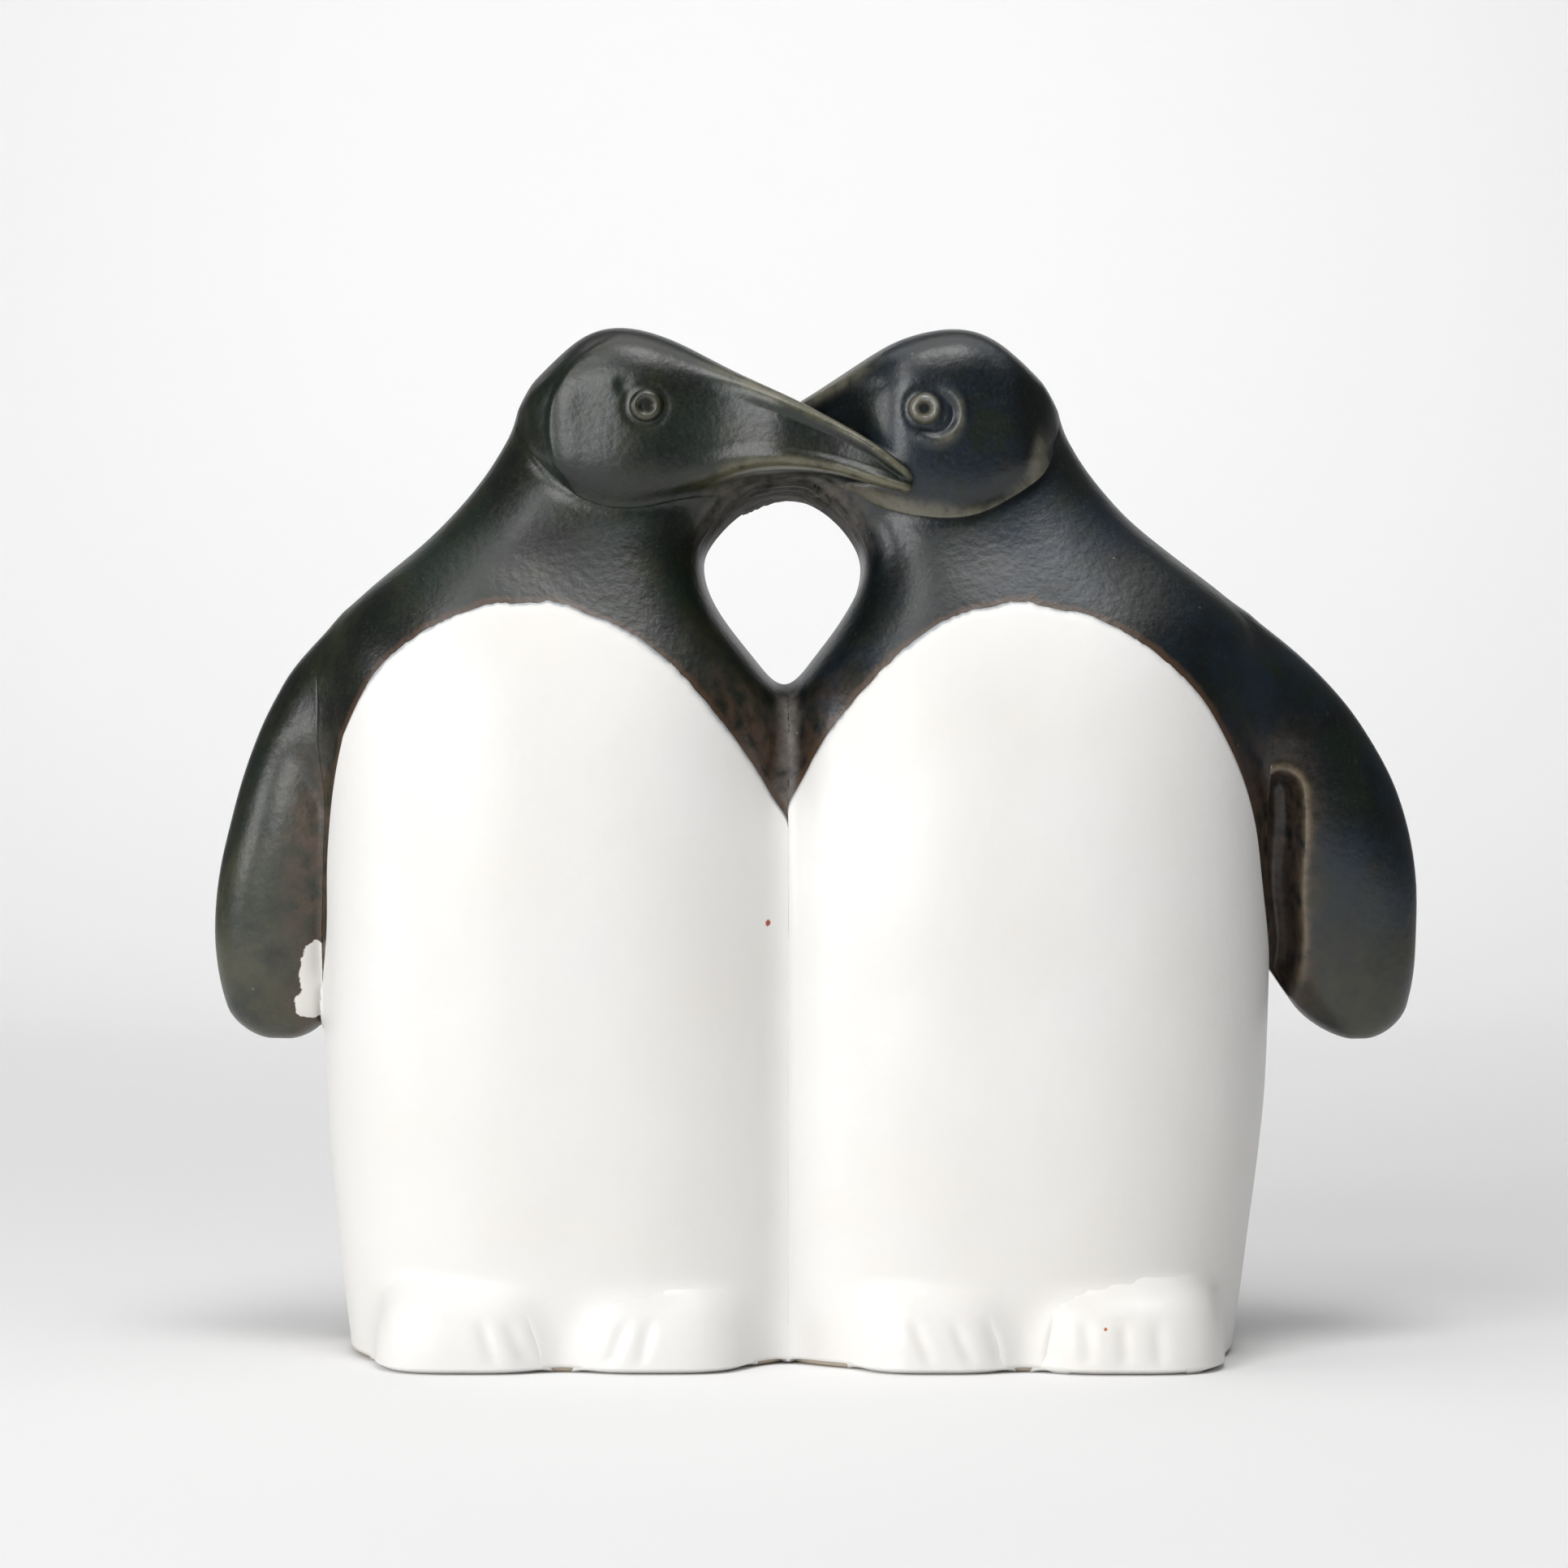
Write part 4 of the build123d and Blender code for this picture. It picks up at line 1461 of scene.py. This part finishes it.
def cove_profile(rows=60):
    """A quarter turn up from the floor, then upright."""
    arc = np.linspace(0.0, np.pi / 2, rows)
    bend = np.stack([COVE_START + COVE_RADIUS * np.sin(arc), COVE_RADIUS - COVE_RADIUS * np.cos(arc)], 1)
    return np.concatenate([bend, [(COVE_START + COVE_RADIUS, COVE_TOP)]])


def paper_with_painted_falloff():
    """Matt white with a painted fall-off of light: it greys outside an oval on the floor, from 1 to 1.6 times
    its size.
    """
    paper, tree, shader, place = start_glaze("paper_painted_falloff", 0.9, 1.3)
    radius = oval_radius(tree, place, LIT_POOL_MIDDLE, LIT_POOL_OVAL)
    # Painted shade: outside the oval about the birds, the floor's colour greys as a painted fall-off of
    # light.
    colour = blend_colours(tree, ramp_share(tree, radius, 1.0, 1.6), PAPER_WHITE, PAPER_PAINTED_FALLOFF_GREY)
    tree.links.new(colour, shader.inputs["Base Color"])
    return paper


plain_paper, _, plain_shader, _ = start_glaze("plain_paper", 0.9, 1.3)
plain_shader.inputs["Base Color"].default_value = PAPER_WHITE
floor_line = np.stack([np.linspace(-FLOOR_HALF, FLOOR_HALF, 60), np.zeros(60)], 1)
stages = [
    ("floor", strip_grid(floor_line, FLOOR_HALF), paper_with_painted_falloff()),
    ("cove", strip_grid(cove_profile(), COVE_HALF), plain_paper),
]
for name, grid, finish in stages:
    corner = np.arange(grid.shape[0] * grid.shape[1]).reshape(grid.shape[:2])
    faces = [corner[:-1, :-1], corner[:-1, 1:], corner[1:, 1:], corner[1:, :-1]]
    faces = np.stack(faces, -1).reshape(-1, 4)
    mesh = bpy.data.meshes.new(name)
    mesh.from_pydata(grid.reshape(-1, 3).tolist(), [], faces.tolist())
    mesh.polygons.foreach_set("use_smooth", np.ones(len(faces), bool))
    stage = bpy.data.objects.new(name, mesh)
    bpy.context.scene.collection.objects.link(stage)
    mesh.materials.append(finish)
    print(f"{name}: {len(faces)} faces")


# %% Lamps, world and camera
def soft_lamp(name, place, aim, size, power):
    """Area lamp of a width and a height at a place, facing the aim."""
    lamp = bpy.data.lights.new(name, "AREA")
    lamp.shape = "RECTANGLE"
    lamp.size, lamp.size_y = size
    lamp.energy = power
    holder = bpy.data.objects.new(name, lamp)
    bpy.context.scene.collection.objects.link(holder)
    direction = np.array(aim) - np.array(place)
    yaw = math.atan2(direction[1], direction[0])
    pitch = math.atan2(math.hypot(direction[0], direction[1]), -direction[2])
    holder.location = place
    holder.rotation_euler = (pitch, 0.0, yaw - math.pi / 2)
    return holder


soft_lamp("front_top", (0.08, -0.42, 1.08), (0.0, 0.0, 0.09), (0.42, 0.56), 3.8)
soft_lamp("left_bank", (-0.61, -1.03, 0.47), (0.0, 0.0, 0.09), (0.54, 0.8), 7.9)
soft_lamp("left_high", (-0.54, -0.69, 1.12), (0.0, 0.0, 0.10), (0.28, 0.28), 1.5)
soft_lamp("left_side", (-1.10, -0.42, 0.25), (0.0, 0.0, 0.10), (0.4, 0.4), 2.9)
soft_lamp("overhead", (0.0, 0.10, 1.30), (0.0, 0.05, 0.0), (1.4, 1.4), 7.2)
back_wash = soft_lamp("back_wash", (0.0, 0.35, 1.3), (0.0, 1.3, 0.35), (1.0, 0.6), 2.75)
back_wash.data.spread = math.radians(100.0)
world = bpy.data.worlds.new("studio")
bpy.context.scene.world = world
world.use_nodes = True
sky = world.node_tree.nodes["Background"]
sky.inputs["Color"].default_value = (1.0, 1.0, 1.0, 1.0)
sky.inputs["Strength"].default_value = 0.10

camera = bpy.data.cameras.new("camera")
camera.sensor_width = 36.0
camera.lens = 96.1
viewer = bpy.data.objects.new("camera", camera)
viewer.location = (-0.0044, -0.580, 0.0775)
viewer.rotation_euler = (math.pi / 2, 0.0, 0.0)
bpy.context.scene.collection.objects.link(viewer)
bpy.context.scene.camera = viewer
bpy.context.scene.view_settings.view_transform = "Standard"
print("camera at", tuple(viewer.location))
